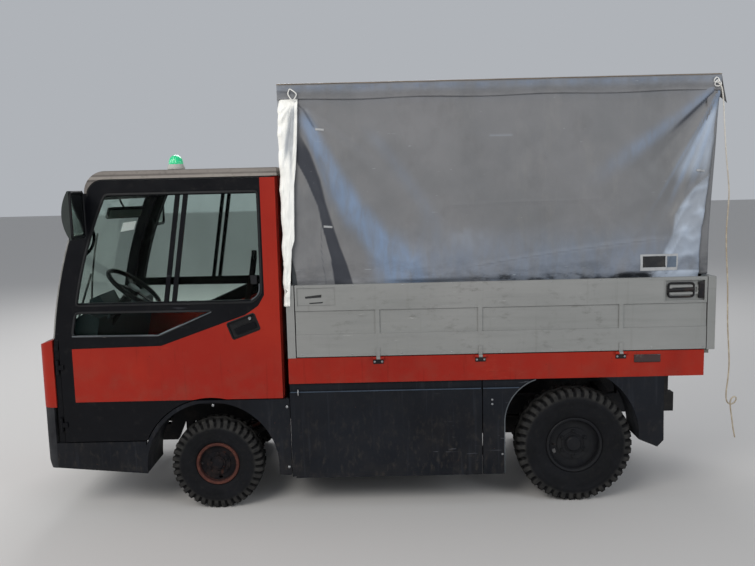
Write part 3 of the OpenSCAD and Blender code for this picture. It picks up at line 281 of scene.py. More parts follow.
def black_paint(name="black_paint", colour="101217", dusty="35322f", amount=0.30, top=0.75):
    """Semi-matt bluish black enamel with dust that thickens towards the ground and pale scuffs."""
    f = Finish(name, colour, 0.52, Specular_IOR_Level=0.14)
    f.over(f.span(f.noise(1.7, 5), 0.35, 0.7), "171a20")
    low = f.span(f.axis("Z"), 0.15, top, amount, 0.05)
    f.over(f.times(low, f.span(f.noise(6, 7, 0.62), 0.35, 0.78)), dusty)
    f.over(f.times(low, f.span(f.noise(38, 5, 0.6, stretch=(1, 1, 0.5)), 0.5, 0.75)), "4c463f")
    streak = f.span(f.noise(18, 4, stretch=(2.6, 2.6, 0.12)), 0.55, 0.74)
    f.over(f.times(streak, 0.16), "3b3e45")
    rubbed = f.span(f.noise(2.3, 3, shift=(0.7, 0, 0)), 0.56, 0.66)
    scuff = f.span(f.noise(34, 2, 0.4, stretch=(0.2, 1, 3.4), warp=1.2), 0.70, 0.735)
    f.over(f.times(f.times(scuff, rubbed), 0.55), "6d7077")
    chips = f.span(f.noise(85, 3), 0.75, 0.765)
    f.over(f.times(chips, 0.7), "6a4436")
    f.rough(f.span(f.noise(7, 5), 0.3, 0.8, 0.42, 0.68))
    f.bump(f.noise(300, 3), 0.00012)
    f.bump(f.noise(4, 3), 0.0018, 0.3)
    return f.done()


def cab_paint():
    """Cleaner black of the door surrounds and window frames."""
    f = Finish("window_frame_black", "0a0b0f", 0.36, Specular_IOR_Level=0.13)
    f.over(f.span(f.noise(2.2, 5), 0.4, 0.7), "0f1014")
    f.over(f.times(f.span(f.noise(22, 6, 0.65), 0.54, 0.8), 0.16), "45423e")
    rubbed = f.span(f.noise(2.9, 3), 0.56, 0.66)
    hair = f.span(f.noise(44, 2, 0.4, stretch=(0.18, 1, 3.6), warp=1.0), 0.70, 0.73)
    f.over(f.times(f.times(hair, rubbed), 0.45), "5d5f65")
    f.rough(f.span(f.noise(8, 5), 0.3, 0.8, 0.32, 0.54))
    f.bump(f.noise(240, 3), 0.0001)
    return f.done()


def roof_paint():
    """Warm grey weathered roof cap with dark algae specks and washed streaks, painted highlights on the ridges of its
    edge with a painted shade line between them, and painted shade along its lower edge.
    """
    f = Finish("weathered_roof", "76716d", 0.68)
    f.over(f.span(f.noise(2.0, 6, 0.6), 0.35, 0.7), "6a6562")
    height = f.axis("Z")
    # painted light: two light bands on the ridges and a dark shade line between them
    for low, high, share, colour in ((1.944, 1.958, 0.6, "99928b"), (1.960, 1.968, 0.5, "56514d"),
                                     (1.970, 1.984, 0.4, "918a84")):
        band = f.times(f.span(height, low - 0.003, low + 0.001), f.span(height, high + 0.003, high - 0.001))
        f.over(f.times(band, share), colour)
    f.over(f.times(f.span(f.noise(45, 6, 0.7), 0.5, 0.72), 0.42), "4f4c45")
    f.over(f.times(f.span(f.noise(9, 5, stretch=(0.3, 3, 1)), 0.55, 0.75), 0.4), "96928a")
    # painted shade along the lower edge of the cap
    edge = f.times(f.span(height, 1.946, 1.938, 0, 0.8), f.span(height, 1.926, 1.936))
    f.over(f.times(edge, f.span(f.noise(12, 5), 0.3, 0.7, 0.5, 1)), "2f2d2b")
    f.bump(f.noise(190, 4), 0.0003)
    return f.done()


def moulded_plastic(name, colour, pale, worn=0.5, roughness=0.6):
    """Moulded plastic with a leather-like grain, faded and scuffed pale on its faces."""
    f = Finish(name, colour, roughness)
    f.over(f.times(f.span(f.noise(3.0, 6, 0.62), 0.38, 0.72), worn), pale)
    f.over(f.times(f.span(f.noise(55, 5, 0.7), 0.56, 0.72), worn * 0.7), pale)
    f.over(f.times(f.span(f.noise(20, 3, 0.5, stretch=(0.5, 0.5, 3.0), warp=0.5), 0.70, 0.74), worn), "8d8a85")
    f.bump(f.cells(420), 0.0003, 0.6)
    f.bump(f.noise(60, 4), 0.0004, 0.5)
    return f.done()


def aluminium():
    """Dull extruded aluminium: draw lines, oxide clouds, grime along the edges and scattered dings."""
    f = Finish("dull_aluminium", "8a8b89", 0.46, Metallic=0.3)
    f.over(f.span(f.noise(1.6, 6, 0.6, stretch=(0.5, 1, 1)), 0.36, 0.68), "939391")
    f.over(f.times(f.span(f.noise(20, 6, 0.6, stretch=(0.12, 1, 1.6)), 0.45, 0.78), 0.3), "767775")
    f.over(f.times(f.span(f.noise(11, 5, stretch=(3, 3, 0.16)), 0.58, 0.8), 0.22), "6a6964")
    soiled = f.span(f.noise(2.4, 4, shift=(0.3, 0, 0.8)), 0.5, 0.68)
    f.over(f.times(soiled, f.span(f.noise(26, 6, 0.7, stretch=(0.5, 1, 1)), 0.5, 0.72, 0, 0.5)), "5c5b57")
    f.over(f.times(f.span(f.noise(60, 4, 0.6), 0.70, 0.76), 0.6), "55544f")
    f.over(f.times(soiled, f.span(f.noise(30, 3, 0.5, stretch=(0.3, 1, 3), warp=1.0), 0.70, 0.73, 0, 0.7)),
           "b5b5b2")
    f.rough(f.span(f.noise(5, 5, stretch=(0.3, 1, 2)), 0.3, 0.75, 0.38, 0.6))
    f.bump(f.noise(90, 3, stretch=(0.05, 1, 3)), 0.00014, 0.5)
    f.bump(f.noise(5, 3), 0.0025, 0.35)
    return f.done()


def steel(name, colour, roughness, metallic, grime, amount=0.4):
    """Bare, zinc-coated or painted steel with cloudy tarnish and grime in patches."""
    f = Finish(name, colour, roughness, Metallic=metallic)
    f.over(f.times(f.span(f.noise(12, 6, 0.65), 0.4, 0.72), amount), grime)
    f.over(f.times(f.span(f.noise(80, 4), 0.6, 0.74), amount), grime)
    f.bump(f.noise(140, 4), 0.0003, 0.7)
    return f.done()


def casting():
    """Sand-cast and forged running gear: grainy skin, road dust and oil-dark patches."""
    f = Finish("dusty_casting", "1e1e21", 0.74)
    f.over(f.times(f.span(f.noise(8, 6, 0.65), 0.4, 0.72), 0.5), "443e39")
    f.over(f.times(f.span(f.noise(5, 4), 0.56, 0.72), 0.7), "121214")
    f.bump(f.noise(220, 4), 0.0006)
    return f.done()


def rubber():
    """Tyre rubber: grey bloom, brown dust in the tread and on the shoulders, painted shade in the grooves, darker
    rings on the wall.
    """
    f = Finish("tyre_rubber", "0f1013", 0.84, Specular_IOR_Level=0.12)
    f.over(f.times(f.span(f.noise(7, 6, 0.62), 0.36, 0.7), 0.45), "1a1b20")
    worn = f.attribute("worn")
    f.over(f.times(worn, f.span(f.noise(26, 6, 0.65), 0.3, 0.66, 0.25, 0.80)), "3a3937")
    # painted shade: the grooves are darkened
    groove = f.attribute("groove")
    f.over(f.times(groove, 0.85), "08080a")
    f.over(f.times(f.span(f.noise(48, 5), 0.56, 0.72), 0.20), "2e2c28")
    f.bump(f.noise(320, 4), 0.0004)
    return f.done()


def rusty_rim():
    """Soot-dark disc wheel with flaking paint and a rust-red ring round the hub."""
    f = Finish("rusty_rim", "161518", 0.80, Specular_IOR_Level=0.12)
    f.over(f.times(f.span(f.noise(20, 6, 0.65), 0.42, 0.66), 0.55), "2d2523")
    radius = f.distance(*FRONT_AXLE)
    ring = f.span(radius, 0.103, 0.111)
    patchy = f.span(f.noise(18, 6, 0.7), 0.30, 0.55, 0.35, 1)
    f.over(f.times(f.times(ring, patchy), 0.85), "51302a")
    f.over(f.times(f.times(ring, f.span(f.noise(60, 5, 0.7), 0.5, 0.66)), 0.5), "6b4334")
    f.over(f.times(f.span(f.noise(30, 5, 0.7, shift=(0.2, 0, 0.1)), 0.58, 0.66), 0.45), "4a2b20")
    f.bump(f.noise(160, 5), 0.0008)
    return f.done()


def black_rim():
    f = Finish("dusty_black_rim", "121317", 0.55, Specular_IOR_Level=0.2)
    f.over(f.times(f.span(f.noise(9, 6, 0.65), 0.38, 0.72), 0.40), "262625")
    f.over(f.times(f.span(f.noise(70, 4), 0.68, 0.74), 0.45), "4a352b")
    f.bump(f.noise(180, 4), 0.0004)
    return f.done()


def glass():
    """Slightly green window glass with a thin film of dust and dried drops."""
    f = Finish("window_glass", "dde8e3", 0.04, Transmission_Weight=1.0, IOR=1.12, Alpha=1.0,
               Specular_IOR_Level=0.5)
    film = f.span(f.noise(4, 6, 0.6, stretch=(1, 1, 0.5)), 0.35, 0.8, 0.05, 0.20)
    f.over(film, "8f938f")
    f.rough(f.span(f.noise(30, 5), 0.4, 0.8, 0.03, 0.12))
    return f.done()


def canvas(name, colour, fresh, worn="5d5c5c", shade_and_cord_colour="2a2d36"):
    """Coated tarpaulin: fine weave, pale rubbed scratches, a painted blue sheen of reflected sky on its ridges,
    painted shade in its folds along with the cord's own dark line, painted highlights where it is crumpled and pulled,
    a grimy hem.
    """
    f = Finish(name, colour, 0.46, Sheen_Weight=0.06, Sheen_Roughness=0.4)
    f.over(f.span(f.noise(1.5, 6, 0.6), 0.35, 0.68), fresh)
    f.over(f.times(f.span(f.noise(7, 6, 0.62, stretch=(1, 1, 0.6)), 0.48, 0.76), 0.30), worn)
    f.over(f.times(f.span(f.noise(3.5, 7, 0.7, stretch=(1.6, 1, 0.5)), 0.50, 0.66), 0.16), "8f8d89")
    streaks = f.span(f.noise(14, 6, 0.62, stretch=(1, 1, 0.28), warp=0.4), 0.30, 0.68, 0.38, 1.0)
    # painted sheen: the blue of reflected sky, laid on the ridges that the sheen attribute marks
    f.over(f.times(f.times(f.span(f.attribute("sheen"), 0.05, 1.0), streaks), 0.62), "7893b6")
    # painted highlight: the pale attribute marks where the cloth stands in bright light, along with a few pale patches
    # and a scratch
    f.over(f.times(f.span(f.attribute("pale"), 0.05, 0.95), 0.85), "b0bbca")
    # painted shade in the folds, and the cord's own dark line, carried by one attribute
    f.over(f.times(f.span(f.attribute("fold_shade_and_cord"), 0.12, 0.85), 0.90), shade_and_cord_colour)
    dirt = f.times(f.attribute("dirt"), f.span(f.noise(11, 7, 0.7, stretch=(0.45, 1, 1)), 0.42, 0.62))
    f.over(dirt, "1f2227")
    f.over(f.times(f.span(f.noise(40, 3, 0.5, stretch=(0.3, 1, 3.0), warp=0.6), 0.74, 0.76), 0.4), "b5babe")
    f.rough(f.span(f.noise(6, 5), 0.3, 0.75, 0.38, 0.56))
    weave = f.times(f.waves(330, "X"), f.waves(330, "Z"))
    f.bump(weave, 0.00012, 0.5)
    f.bump(f.noise(22, 5, 0.6, stretch=(1, 1, 0.8)), 0.0016, 0.55)
    return f.done()


def glowing_paper():
    # painted light: the label glows, though it is no lamp
    f = Finish("glowing_blank_paper", "f4f4f2", 0.7, Emission_Color=tint("ffffff"), Emission_Strength=0.45)
    f.over(f.times(f.span(f.noise(14, 4), 0.4, 0.7), 0.3), "dedede")
    return f.done()


def rope_fibre():
    f = Finish("rope_fibre", "9c8f7b", 0.9)
    f.over(f.span(f.noise(30, 5), 0.4, 0.7), "b9ae9a")
    f.over(f.span(f.axis("Z"), 1.5, 2.25, 0, 0.8), "d2d0cb")
    f.over(f.times(f.span(f.noise(220, 4), 0.5, 0.7), 0.5), "6b6152")
    f.bump(f.noise(900, 3), 0.0004)
    return f.done()


def vinyl():
    """Dark seat vinyl with a pebbled grain, rubbed on the crowns."""
    f = Finish("seat_vinyl", "25272c", 0.5)
    f.over(f.times(f.span(f.noise(6, 5), 0.42, 0.72), 0.45), "3a3c42")
    f.over(f.times(f.span(f.noise(38, 4), 0.62, 0.74), 0.35), "5c5a56")
    f.bump(f.cells(260), 0.0005, 0.7)
    f.bump(f.noise(14, 4), 0.0012, 0.4)
    return f.done()


def lens(name, colour, roughness=0.12, glow=0.0, ribs=0.0):
    """Moulded lamp lens, ribbed inside, with dust in its corners."""
    f = Finish(name, colour, roughness, Coat_Weight=0.5, Specular_IOR_Level=0.5)
    if glow:
        f.shader.inputs["Emission Color"].default_value = tint(colour)
        f.shader.inputs["Emission Strength"].default_value = glow
    f.over(f.times(f.span(f.noise(16, 5), 0.5, 0.78), 0.3), "8d8a80")
    if ribs:
        f.bump(f.waves(ribs, "Y"), 0.0012, 0.7)
    f.bump(f.noise(40, 3), 0.0004, 0.4)
    return f.done()


def deck_plate():
    """Scuffed deck plate with drag marks along its length."""
    f = Finish("deck_plate", "6f6c66", 0.6, Metallic=0.25)
    f.over(f.span(f.noise(2.4, 6, 0.6), 0.36, 0.7), "5a5751")
    f.over(f.times(f.span(f.noise(30, 4, stretch=(0.08, 1, 1)), 0.55, 0.74), 0.6), "96938c")
    f.over(f.times(f.span(f.noise(14, 6, 0.7), 0.55, 0.74), 0.6), "3b3833")
    f.bump(f.noise(60, 4, stretch=(0.2, 1, 1)), 0.0005)
    return f.done()


MATERIAL = {
    "red": red_paint(),
    "black": black_paint(),
    "cab": cab_paint(),
    "roof": roof_paint(),
    "bumper": moulded_plastic("scuffed_bumper_plastic", "15161a", "3c3d40", 0.6, 0.72),
    "plastic": moulded_plastic("black_plastic", "0f1013", "26272a", 0.4),
    "dash": moulded_plastic("grey_dash_plastic", "2f3b3f", "4a565a", 0.5),
    "aluminium": aluminium(),
    "chassis": steel("chassis_paint", "191a1d", 0.72, 0.0, "3d3832", 0.5),
    "casting": casting(),
    "rubber": rubber(),
    "rusty_rim": rusty_rim(),
    "black_rim": black_rim(),
    "glass": glass(),
    "canvas": canvas("silver_canvas", "6f7072", "79797b"),
    # painted light: a paler copy of the same canvas, standing in for sunlight on the front curtain
    "sunlit_canvas": canvas("sunlit_canvas", "eeeeea", "f8f7f2", "c9c9c4", "7f868f"),
    "rope": rope_fibre(),
    "vinyl": vinyl(),
    "lamp": lens("clear_lamp", "c8cdd0", 0.08, ribs=30),
    "lamp_red": lens("red_lamp", "7c1512", 0.15, ribs=40),
    "beacon": lens("green_beacon", "12b478", 0.1, glow=0.40, ribs=60),
    "pale_plastic": moulded_plastic("weathered_pale_plastic", "b0b0ac", "c6c6c2", 0.4),
    "tape": canvas("white_tape", "9c9ea0", "acadae", "7f8182"),
    "tape_rope": canvas("white_cord", "d9d8d4", "e6e5e2", "a9a7a0"),
    "binding": canvas("brown_binding", "7d6a55", "8c7a66", "5f5143"),
    "glowing_paper": glowing_paper(),
    "gasket": moulded_plastic("gasket_rubber", "121315", "2c2d30", 0.4, 0.55),
    # painted highlight on lips and edges
    "lip_highlight": moulded_plastic("painted_lip_highlight", "4b5054", "767b7f", 0.6, 0.4),
    "dark_plastic": moulded_plastic("handle_bowl", "0d0e10", "232427", 0.3),
    "grey_plastic": moulded_plastic("pale_hub", "7f878a", "a0a6a8", 0.4),
    "belt": canvas("belt_webbing", "17181a", "222326", "0d0d0e"),
    # pale strips: the painted highlight on the windscreen pillars, and the ledge on the nose
    "pale_strip": steel("pale_strip_steel", "8c8b88", 0.5, 0.1, "5d5b57", 0.5),
    # painted highlight of sky light on the skirt's ledge
    "ledge_highlight": steel("painted_ledge_highlight", "3a4654", 0.5, 0.1, "2a2f36", 0.5),
    "patch_grey": moulded_plastic("patch_grey", "5a6674", "6d7784", 0.5),
    "mirror_grey": moulded_plastic("faded_mirror_plastic", "2b302f", "434947", 0.6),
    "hazy_mirror": steel("hazy_mirror", "76827b", 0.30, 0.25, "5c6862", 0.5),
    "mirror": steel("mirror_silver", "b9c2bd", 0.06, 1.0, "7e847f", 0.15),
    "dark_grime": steel("dark_recess", "26272a", 0.7, 0.2, "4c4a45"),
    "dark_red": lens("dark_reflector", "2a0d0c", 0.2, ribs=180),
    "amber": lens("amber_lens", "b5560f", 0.15, ribs=40),
    "zinc": steel("zinc_tube", "72777b", 0.42, 0.6, "4c4b47"),
    "steel": steel("bright_steel", "9a9c9e", 0.32, 0.8, "55514b"),
    "dark_steel": steel("dark_fittings", "1a1b1e", 0.5, 0.3, "4a3a30"),
    "deck": deck_plate(),
    "battery": steel("battery_case", "2d3336", 0.6, 0.1, "4f4a42"),
}

NODE_FINISH = {
    "red": ["front_panel", "door_panel_left", "door_panel_right", "bed_frame", "cab_rear_wall"],
    "cab": ["cab_frame", "door_frame_left", "door_frame_right"],
    "black": ["arch_panel_left", "arch_panel_right", "skirt_left", "skirt_right",
              "mudguard_left", "mudguard_right"],
    "roof": ["cab_roof"],
    "bumper": ["front_bumper"],
    "plastic": ["steering_column", "steering_wheel", "grab_handles"],
    "mirror_grey": ["mirror_left", "mirror_right"],
    "dash": ["dashboard"],
    "aluminium": ["corner_posts", "headboard", "dropside_left", "dropside_right", "tailgate"],
    "chassis": ["chassis", "cab_floor", "seat_base"],
    "casting": ["drive_motor", "front_axle", "rear_axle", "knuckle_left", "knuckle_right", "tie_rod",
                "tow_coupling"],
    "rusty_rim": ["front_rim_left", "front_rim_right"],
    "black_rim": ["rear_rim_left", "rear_rim_right"],
    "glass": ["windscreen", "door_glass_left", "door_glass_right"],
    "lamp": ["headlamps"],
    "lamp_red": ["tail_lamps"],
    "beacon": ["beacon"],
    "zinc": ["canopy_frame"],
    "deck": ["bed_floor"],
    "battery": ["battery"],
    "rubber": ["front_tyre_left", "front_tyre_right", "rear_tyre_left", "rear_tyre_right"],
    "canvas": ["cover_roof", "cover_sides", "cover_ends"],
    "vinyl": ["seat_left", "seat_right"],
    "rope": ["rope"],
}


def dress_nodes():
    for finish, names in NODE_FINISH.items():
        for name in names:
            NODE[name].data.materials.clear()
            NODE[name].data.materials.append(MATERIAL[finish])


# Shapes: every function returns (points, faces) as arrays, in metres in the vehicle's frame

def smooth(x, low, high):
    """0 below low, 1 above high, and a smooth S curve between them: t*t*(3 - 2t)."""
    t = np.clip((np.asarray(x, float) - low) / (high - low), 0, 1)
    return t * t * (3 - 2 * t)


def bell(x, width):
    """A smooth hump, 1 at 0 and near 0 beyond twice the width: exp(-(x/width)^2)."""
    return np.exp(-(np.asarray(x, float) / width) ** 2)


def grid(points, close_u=False, close_v=False):
    """Faces between neighbours of a grid of points[u, v]; a closed direction joins its last row to its first."""
    nu, nv = points.shape[:2]
    u = np.arange(nu if close_u else nu - 1)[:, None]
    v = np.arange(nv if close_v else nv - 1)[None, :]
    u1, v1 = (u + 1) % nu, (v + 1) % nv
    quads = np.stack([u * nv + v, u1 * nv + v, u1 * nv + v1, u * nv + v1], -1)
    return points.reshape(-1, 3), quads.reshape(-1, 4)


def caps(sides, rings):
    """The first and last face of a tube of that many rings with that many sides."""
    return [list(range(sides)), list(range((rings - 1) * sides, rings * sides))[::-1]]


def join(*shapes):
    """One shape from several, each shape's faces shifted past the points before it."""
    points, faces, start = [], [], 0
    for p, f in shapes:
        points.append(p)
        f = f.tolist() if isinstance(f, np.ndarray) else f
        faces.extend([i + start for i in face] for face in f)
        start += len(p)
    return np.concatenate(points), faces


def block(low, high):
    """A box from its low to its high corner."""
    (x0, y0, z0), (x1, y1, z1) = low, high
    p = np.array([(x, y, z) for z in (z0, z1) for y in (y0, y1) for x in (x0, x1)], float)
    return p, np.array([(0, 2, 3, 1), (4, 5, 7, 6), (0, 1, 5, 4), (2, 6, 7, 3), (0, 4, 6, 2), (1, 3, 7, 5)])


def axes_of(direction):
    """Two unit vectors square to a direction."""
    d = np.asarray(direction, float) / np.linalg.norm(direction)
    a = np.cross(d, (0, 0, 1.0) if abs(d[2]) < 0.9 else (1.0, 0, 0))
    a /= np.linalg.norm(a)
    return d, a, np.cross(d, a)


def turned(profile, base, direction, sides=24):
    """Revolves (distance along, radius) pairs round a line through base, with end caps where the radius isn't 0."""
    d, a, b = axes_of(direction)
    profile = np.asarray(profile, float)
    angle = np.arange(sides) * 2 * math.pi / sides
    ring = np.cos(angle)[:, None] * a + np.sin(angle)[:, None] * b
    points = np.asarray(base, float) + profile[:, 0, None, None] * d + profile[:, 1, None, None] * ring
    p, f = grid(points, close_v=True)
    ends = zip(caps(sides, len(profile)), profile[[0, -1], 1])
    return p, f.tolist() + [cap for cap, radius in ends if radius > 0]


def smooth_path(points, steps=6, closed=False):
    """Catmull-Rom curve through the points, steps pieces between neighbours."""
    p = np.asarray(points, float)
    n = len(p)
    ids = np.arange(n if closed else n - 1)
    pick = (lambda i: p[i % n]) if closed else (lambda i: p[np.clip(i, 0, n - 1)])
    a, b, c, d = pick(ids - 1), pick(ids), pick(ids + 1), pick(ids + 2)
    t = (np.arange(steps) / steps)[None, :, None]
    a, b, c, d = (x[:, None] for x in (a, b, c, d))
    curve = 0.5 * (2 * b + (c - a) * t + (2 * a - 5 * b + 4 * c - d) * t ** 2 + (3 * b - a - 3 * c + d) * t ** 3)
    curve = curve.reshape(-1, 3)
    return curve if closed else np.vstack([curve, p[-1]])


def frames_along(path, closed=False):
    """Unit side vectors carried along a path without twist, by projecting each onto the next ring's plane."""
    ahead = np.roll(path, -1, 0) - np.roll(path, 1, 0)
    if not closed:
        ahead[0], ahead[-1] = path[1] - path[0], path[-1] - path[-2]
    ahead /= np.linalg.norm(ahead, axis=1)[:, None]
    side = axes_of(ahead[0])[1]
    sides = []
    for t in ahead:
        side = side - t * (side @ t)
        side = side / np.linalg.norm(side)
        sides.append(side)
    sides = np.array(sides)
    return sides, np.cross(ahead, sides)


def tube(path, radius, sides=10, closed=False, section=None):
    """Carries a round section, or one given as (sideways, upward) pairs, along a path."""
    path = np.asarray(path, float)
    u, v = frames_along(path, closed)
    if section is None:
        angle = np.arange(sides) * 2 * math.pi / sides
        section = np.stack([np.cos(angle), np.sin(angle)], -1)
    section = np.asarray(section, float)
    radius = np.broadcast_to(np.asarray(radius, float).reshape(-1, 1, 1), (len(path), 1, 1))
    points = path[:, None] + radius * (section[None, :, :1] * u[:, None] + section[None, :, 1:] * v[:, None])
    p, f = grid(points, close_u=closed, close_v=True)
    return p, f.tolist() + ([] if closed else caps(len(section), len(path)))


def piece(name, shape, finish, body, replaces=(), angle=35, outward=True, attributes=None, bevel=0.0,
          thickness=0.0):
    """Makes a mesh object from a shape, with its material and body."""
    points, faces = shape
    mesh = bpy.data.meshes.new(name)
    mesh.from_pydata(np.asarray(points, float).tolist(), [], np.asarray(faces).tolist()
                     if isinstance(faces, np.ndarray) else faces)
    mesh.update()
    if outward:
        work = bmesh.new()
        work.from_mesh(mesh)
        bmesh.ops.recalc_face_normals(work, faces=work.faces)
        work.to_mesh(mesh)
        work.free()
    for key, values in (attributes or {}).items():
        layer = mesh.attributes.new(key, "FLOAT", "POINT")
        layer.data.foreach_set("value", np.asarray(values, np.float32).ravel())
    mesh.shade_smooth()
    if angle < 180:
        mesh.set_sharp_from_angle(angle=math.radians(angle))
    mesh.materials.append(MATERIAL[finish])
    made = bpy.data.objects.new(name, mesh)
    bpy.context.scene.collection.objects.link(made)
    if thickness:
        solid = made.modifiers.new("thickness", "SOLIDIFY")
        solid.thickness = thickness
        solid.offset = 0
    if bevel:
        edge = made.modifiers.new("bevel", "BEVEL")
        edge.width = bevel
        edge.segments = 2
        edge.limit_method = "ANGLE"
        edge.angle_limit = math.radians(40)
    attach(made, body)
    if replaces:
        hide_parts(*replaces)
    return made


# Rope

def make_rope():
    """Three-strand rope: the radius falls in three grooves that turn round the path once every pitch."""
    path = smooth_path(ROPE_POINTS, 30)
    run = np.concatenate([[0], np.cumsum(np.linalg.norm(np.diff(path, axis=0), axis=1))])
    fine = np.linspace(0, run[-1], int(run[-1] / 0.0028))
    path = np.stack([np.interp(fine, run, path[:, i]) for i in range(3)], -1)
    sides, pitch = 18, 0.034
    angle = np.arange(sides) * 2 * math.pi / sides
    strand = 1.5 * (angle[None] + 2 * math.pi * fine[:, None] / pitch)
    radius = ROPE_DIAMETER / 2 * (0.76 + 0.24 * np.abs(np.cos(strand)))
    u, v = frames_along(path)
    ring = np.cos(angle)[None, :, None] * u[:, None] + np.sin(angle)[None, :, None] * v[:, None]
    p, f = grid(path[:, None] + radius[:, :, None] * ring, close_v=True)
    faces = f.tolist() + caps(sides, len(path))
    rope = piece("rope_cord", (p, faces), "rope", "vehicle", ["rope"], angle=180)


# Canopy cloth

CLOTH_TOP, HEM_DEPTH = 2.4405, 0.080
SIDE_LOW = 1.250
# Lines on the side cloth, as (height, X) from top to bottom
FOLD_FRONT = [(2.20, 0.425), (2.02, 0.418), (1.918, 0.366), (1.764, 0.305), (1.663, 0.288), (1.485, 0.243),
              (1.20, 0.21)]
FOLD_BACK = [(2.20, 0.405), (2.153, 0.385), (2.056, 0.338), (1.913, 0.290), (1.788, 0.264), (1.662, 0.228),
             (1.535, 0.191), (1.432, 0.154), (1.20, 0.09)]
UPPER_CREASE = [(2.33, 0.402), (2.302, 0.368), (2.256, 0.343), (2.209, 0.317), (2.17, 0.295)]
CORD_LINE = [(1.653, 0.289), (1.512, 0.293), (1.435, 0.286), (1.328, 0.274)]
SHEEN_RIDGE = [(2.40, 0.40), (2.259, 0.361), (2.114, 0.301), (1.959, 0.229), (1.803, 0.147), (1.663, 0.055),
               (1.556, -0.029), (1.467, -0.114), (1.36, -0.182), (1.20, -0.25)]
MID_SHEEN = [(2.40, 0.20), (2.157, -0.009), (2.002, -0.126), (1.881, -0.209), (1.758, -0.294), (1.36, -0.44)]
BRIGHT_EDGE = [(1.96, -1.93), (1.89, -1.878), (1.831, -1.802), (1.743, -1.732), (1.671, -1.691),
               (1.562, -1.682),
               (1.471, -1.641), (1.40, -1.60), (1.35, -1.57)]
REAR_EDGE = [(2.44, -1.925), (2.292, -1.921), (2.22, -1.918), (2.134, -1.909), (2.03, -1.895), (1.89, -1.880),
             (1.728, -1.865), (1.60, -1.850), (1.485, -1.840), (1.20, -1.838)]
# Folds that run out of a held corner, as (X, height) of the end, width and height of the fold
REAR_CORNER = (-1.935, 2.385)
REAR_FOLDS = [((-1.250, 1.880), 0.085, 0.011), ((-1.560, 1.930), 0.045, -0.012),
              ((-1.560, 1.700), 0.030, 0.011),
              ((-1.640, 1.700), 0.022, -0.008), ((-1.680, 1.620), 0.022, 0.012),
              ((-1.740, 1.760), 0.016, -0.006),
              ((-1.790, 1.800), 0.018, 0.009)]
FRONT_CORNER = (0.400, 2.340)
FRONT_FOLDS = [((-0.350, 1.640), 0.060, 0.006), ((-0.050, 2.020), 0.035, -0.004)]
FLAP_TIE = (0.418, 2.352)
FLAP_FOLDS = [((0.512, 2.215), 0.014, 0.011), ((0.436, 2.160), 0.009, 0.008), ((0.470, 2.060), 0.030, -0.012),
              ((0.500, 1.960), 0.012, 0.007), ((0.470, 1.700), 0.020, 0.006)]
FLAP_EDGE = [(2.44, 0.394), (2.286, 0.400), (2.134, 0.407), (1.981, 0.419), (1.89, 0.431), (1.70, 0.438),
             (1.58, 0.441), (1.53, 0.458), (1.468, 0.463), (1.316, 0.474), (1.20, 0.480)]


def line_x(line, z):
    """The X of a polyline of (z, x) points at height z."""
    points = np.array(sorted(line))
    return np.interp(z, points[:, 0], points[:, 1])


def crumple(x, z, seed, scale=1.0):
    """Soft creases without a pattern: a sum of sines in turned directions, folded by abs() at two sizes."""
    rng = np.random.default_rng(seed)
    total = np.zeros_like(x)
    for size, height in ((0.42, 1.0), (0.23, 0.55), (0.12, 0.28), (0.065, 0.14)):
        for _ in range(3):
            turn, phase = rng.uniform(0, math.pi), rng.uniform(0, 2 * math.pi)
            wave = (x * math.cos(turn) + z * math.sin(turn)) * 2 * math.pi / (size * scale) + phase
            total += height * np.sin(wave + 1.3 * np.sin(wave * 0.37 + phase)) / 3
    return total


def dents(x, z, seed, size, sharp=2.5):
    """Pressed wrinkles: ridges where warped sines pass through 0, (1 - |sin|)^sharp, in four directions."""
    rng = np.random.default_rng(seed)
    total = np.zeros_like(x)
    for _ in range(4):
        turn, phase = rng.uniform(0, math.pi), rng.uniform(0, 2 * math.pi)
        across = x * math.cos(turn) + z * math.sin(turn)
        along = z * math.cos(turn) - x * math.sin(turn)
        wave = across * math.pi / size + 1.6 * np.sin(along * math.pi / size * 0.55 + phase) + phase
        patch = 0.5 + 0.5 * np.sin(along * math.pi / size * 0.8 + 2 * phase)
        total += (1 - np.abs(np.sin(wave))) ** sharp * patch
    return total


def radiating(x, z, start, folds):
    """Folds from one held point: each is a bell across the line to its end, wider and lower as it runs out."""
    total = np.zeros_like(x)
    for end, width, height in folds:
        dx, dz = end[0] - start[0], end[1] - start[1]
        share = np.clip(((x - start[0]) * dx + (z - start[1]) * dz) / (dx * dx + dz * dz), 0, 1.4)
        off = np.hypot(x - start[0] - share * dx, z - start[1] - share * dz)
        total += height * bell(off, width * (0.25 + 0.75 * share)) * smooth(share, 0.0,
                                                                            0.10) * smooth(share, 1.35, 0.6)
    return total


def side_plane(x, z):
    """Y of the taut side cloth: it leans in towards the bed, and meets the hem behind the flap."""
    return 0.634 + 0.0065 * smooth(z, 2.30, 2.40) * smooth(x, 0.43, 0.35) - 0.0165 * smooth(z, 2.42, 1.33)


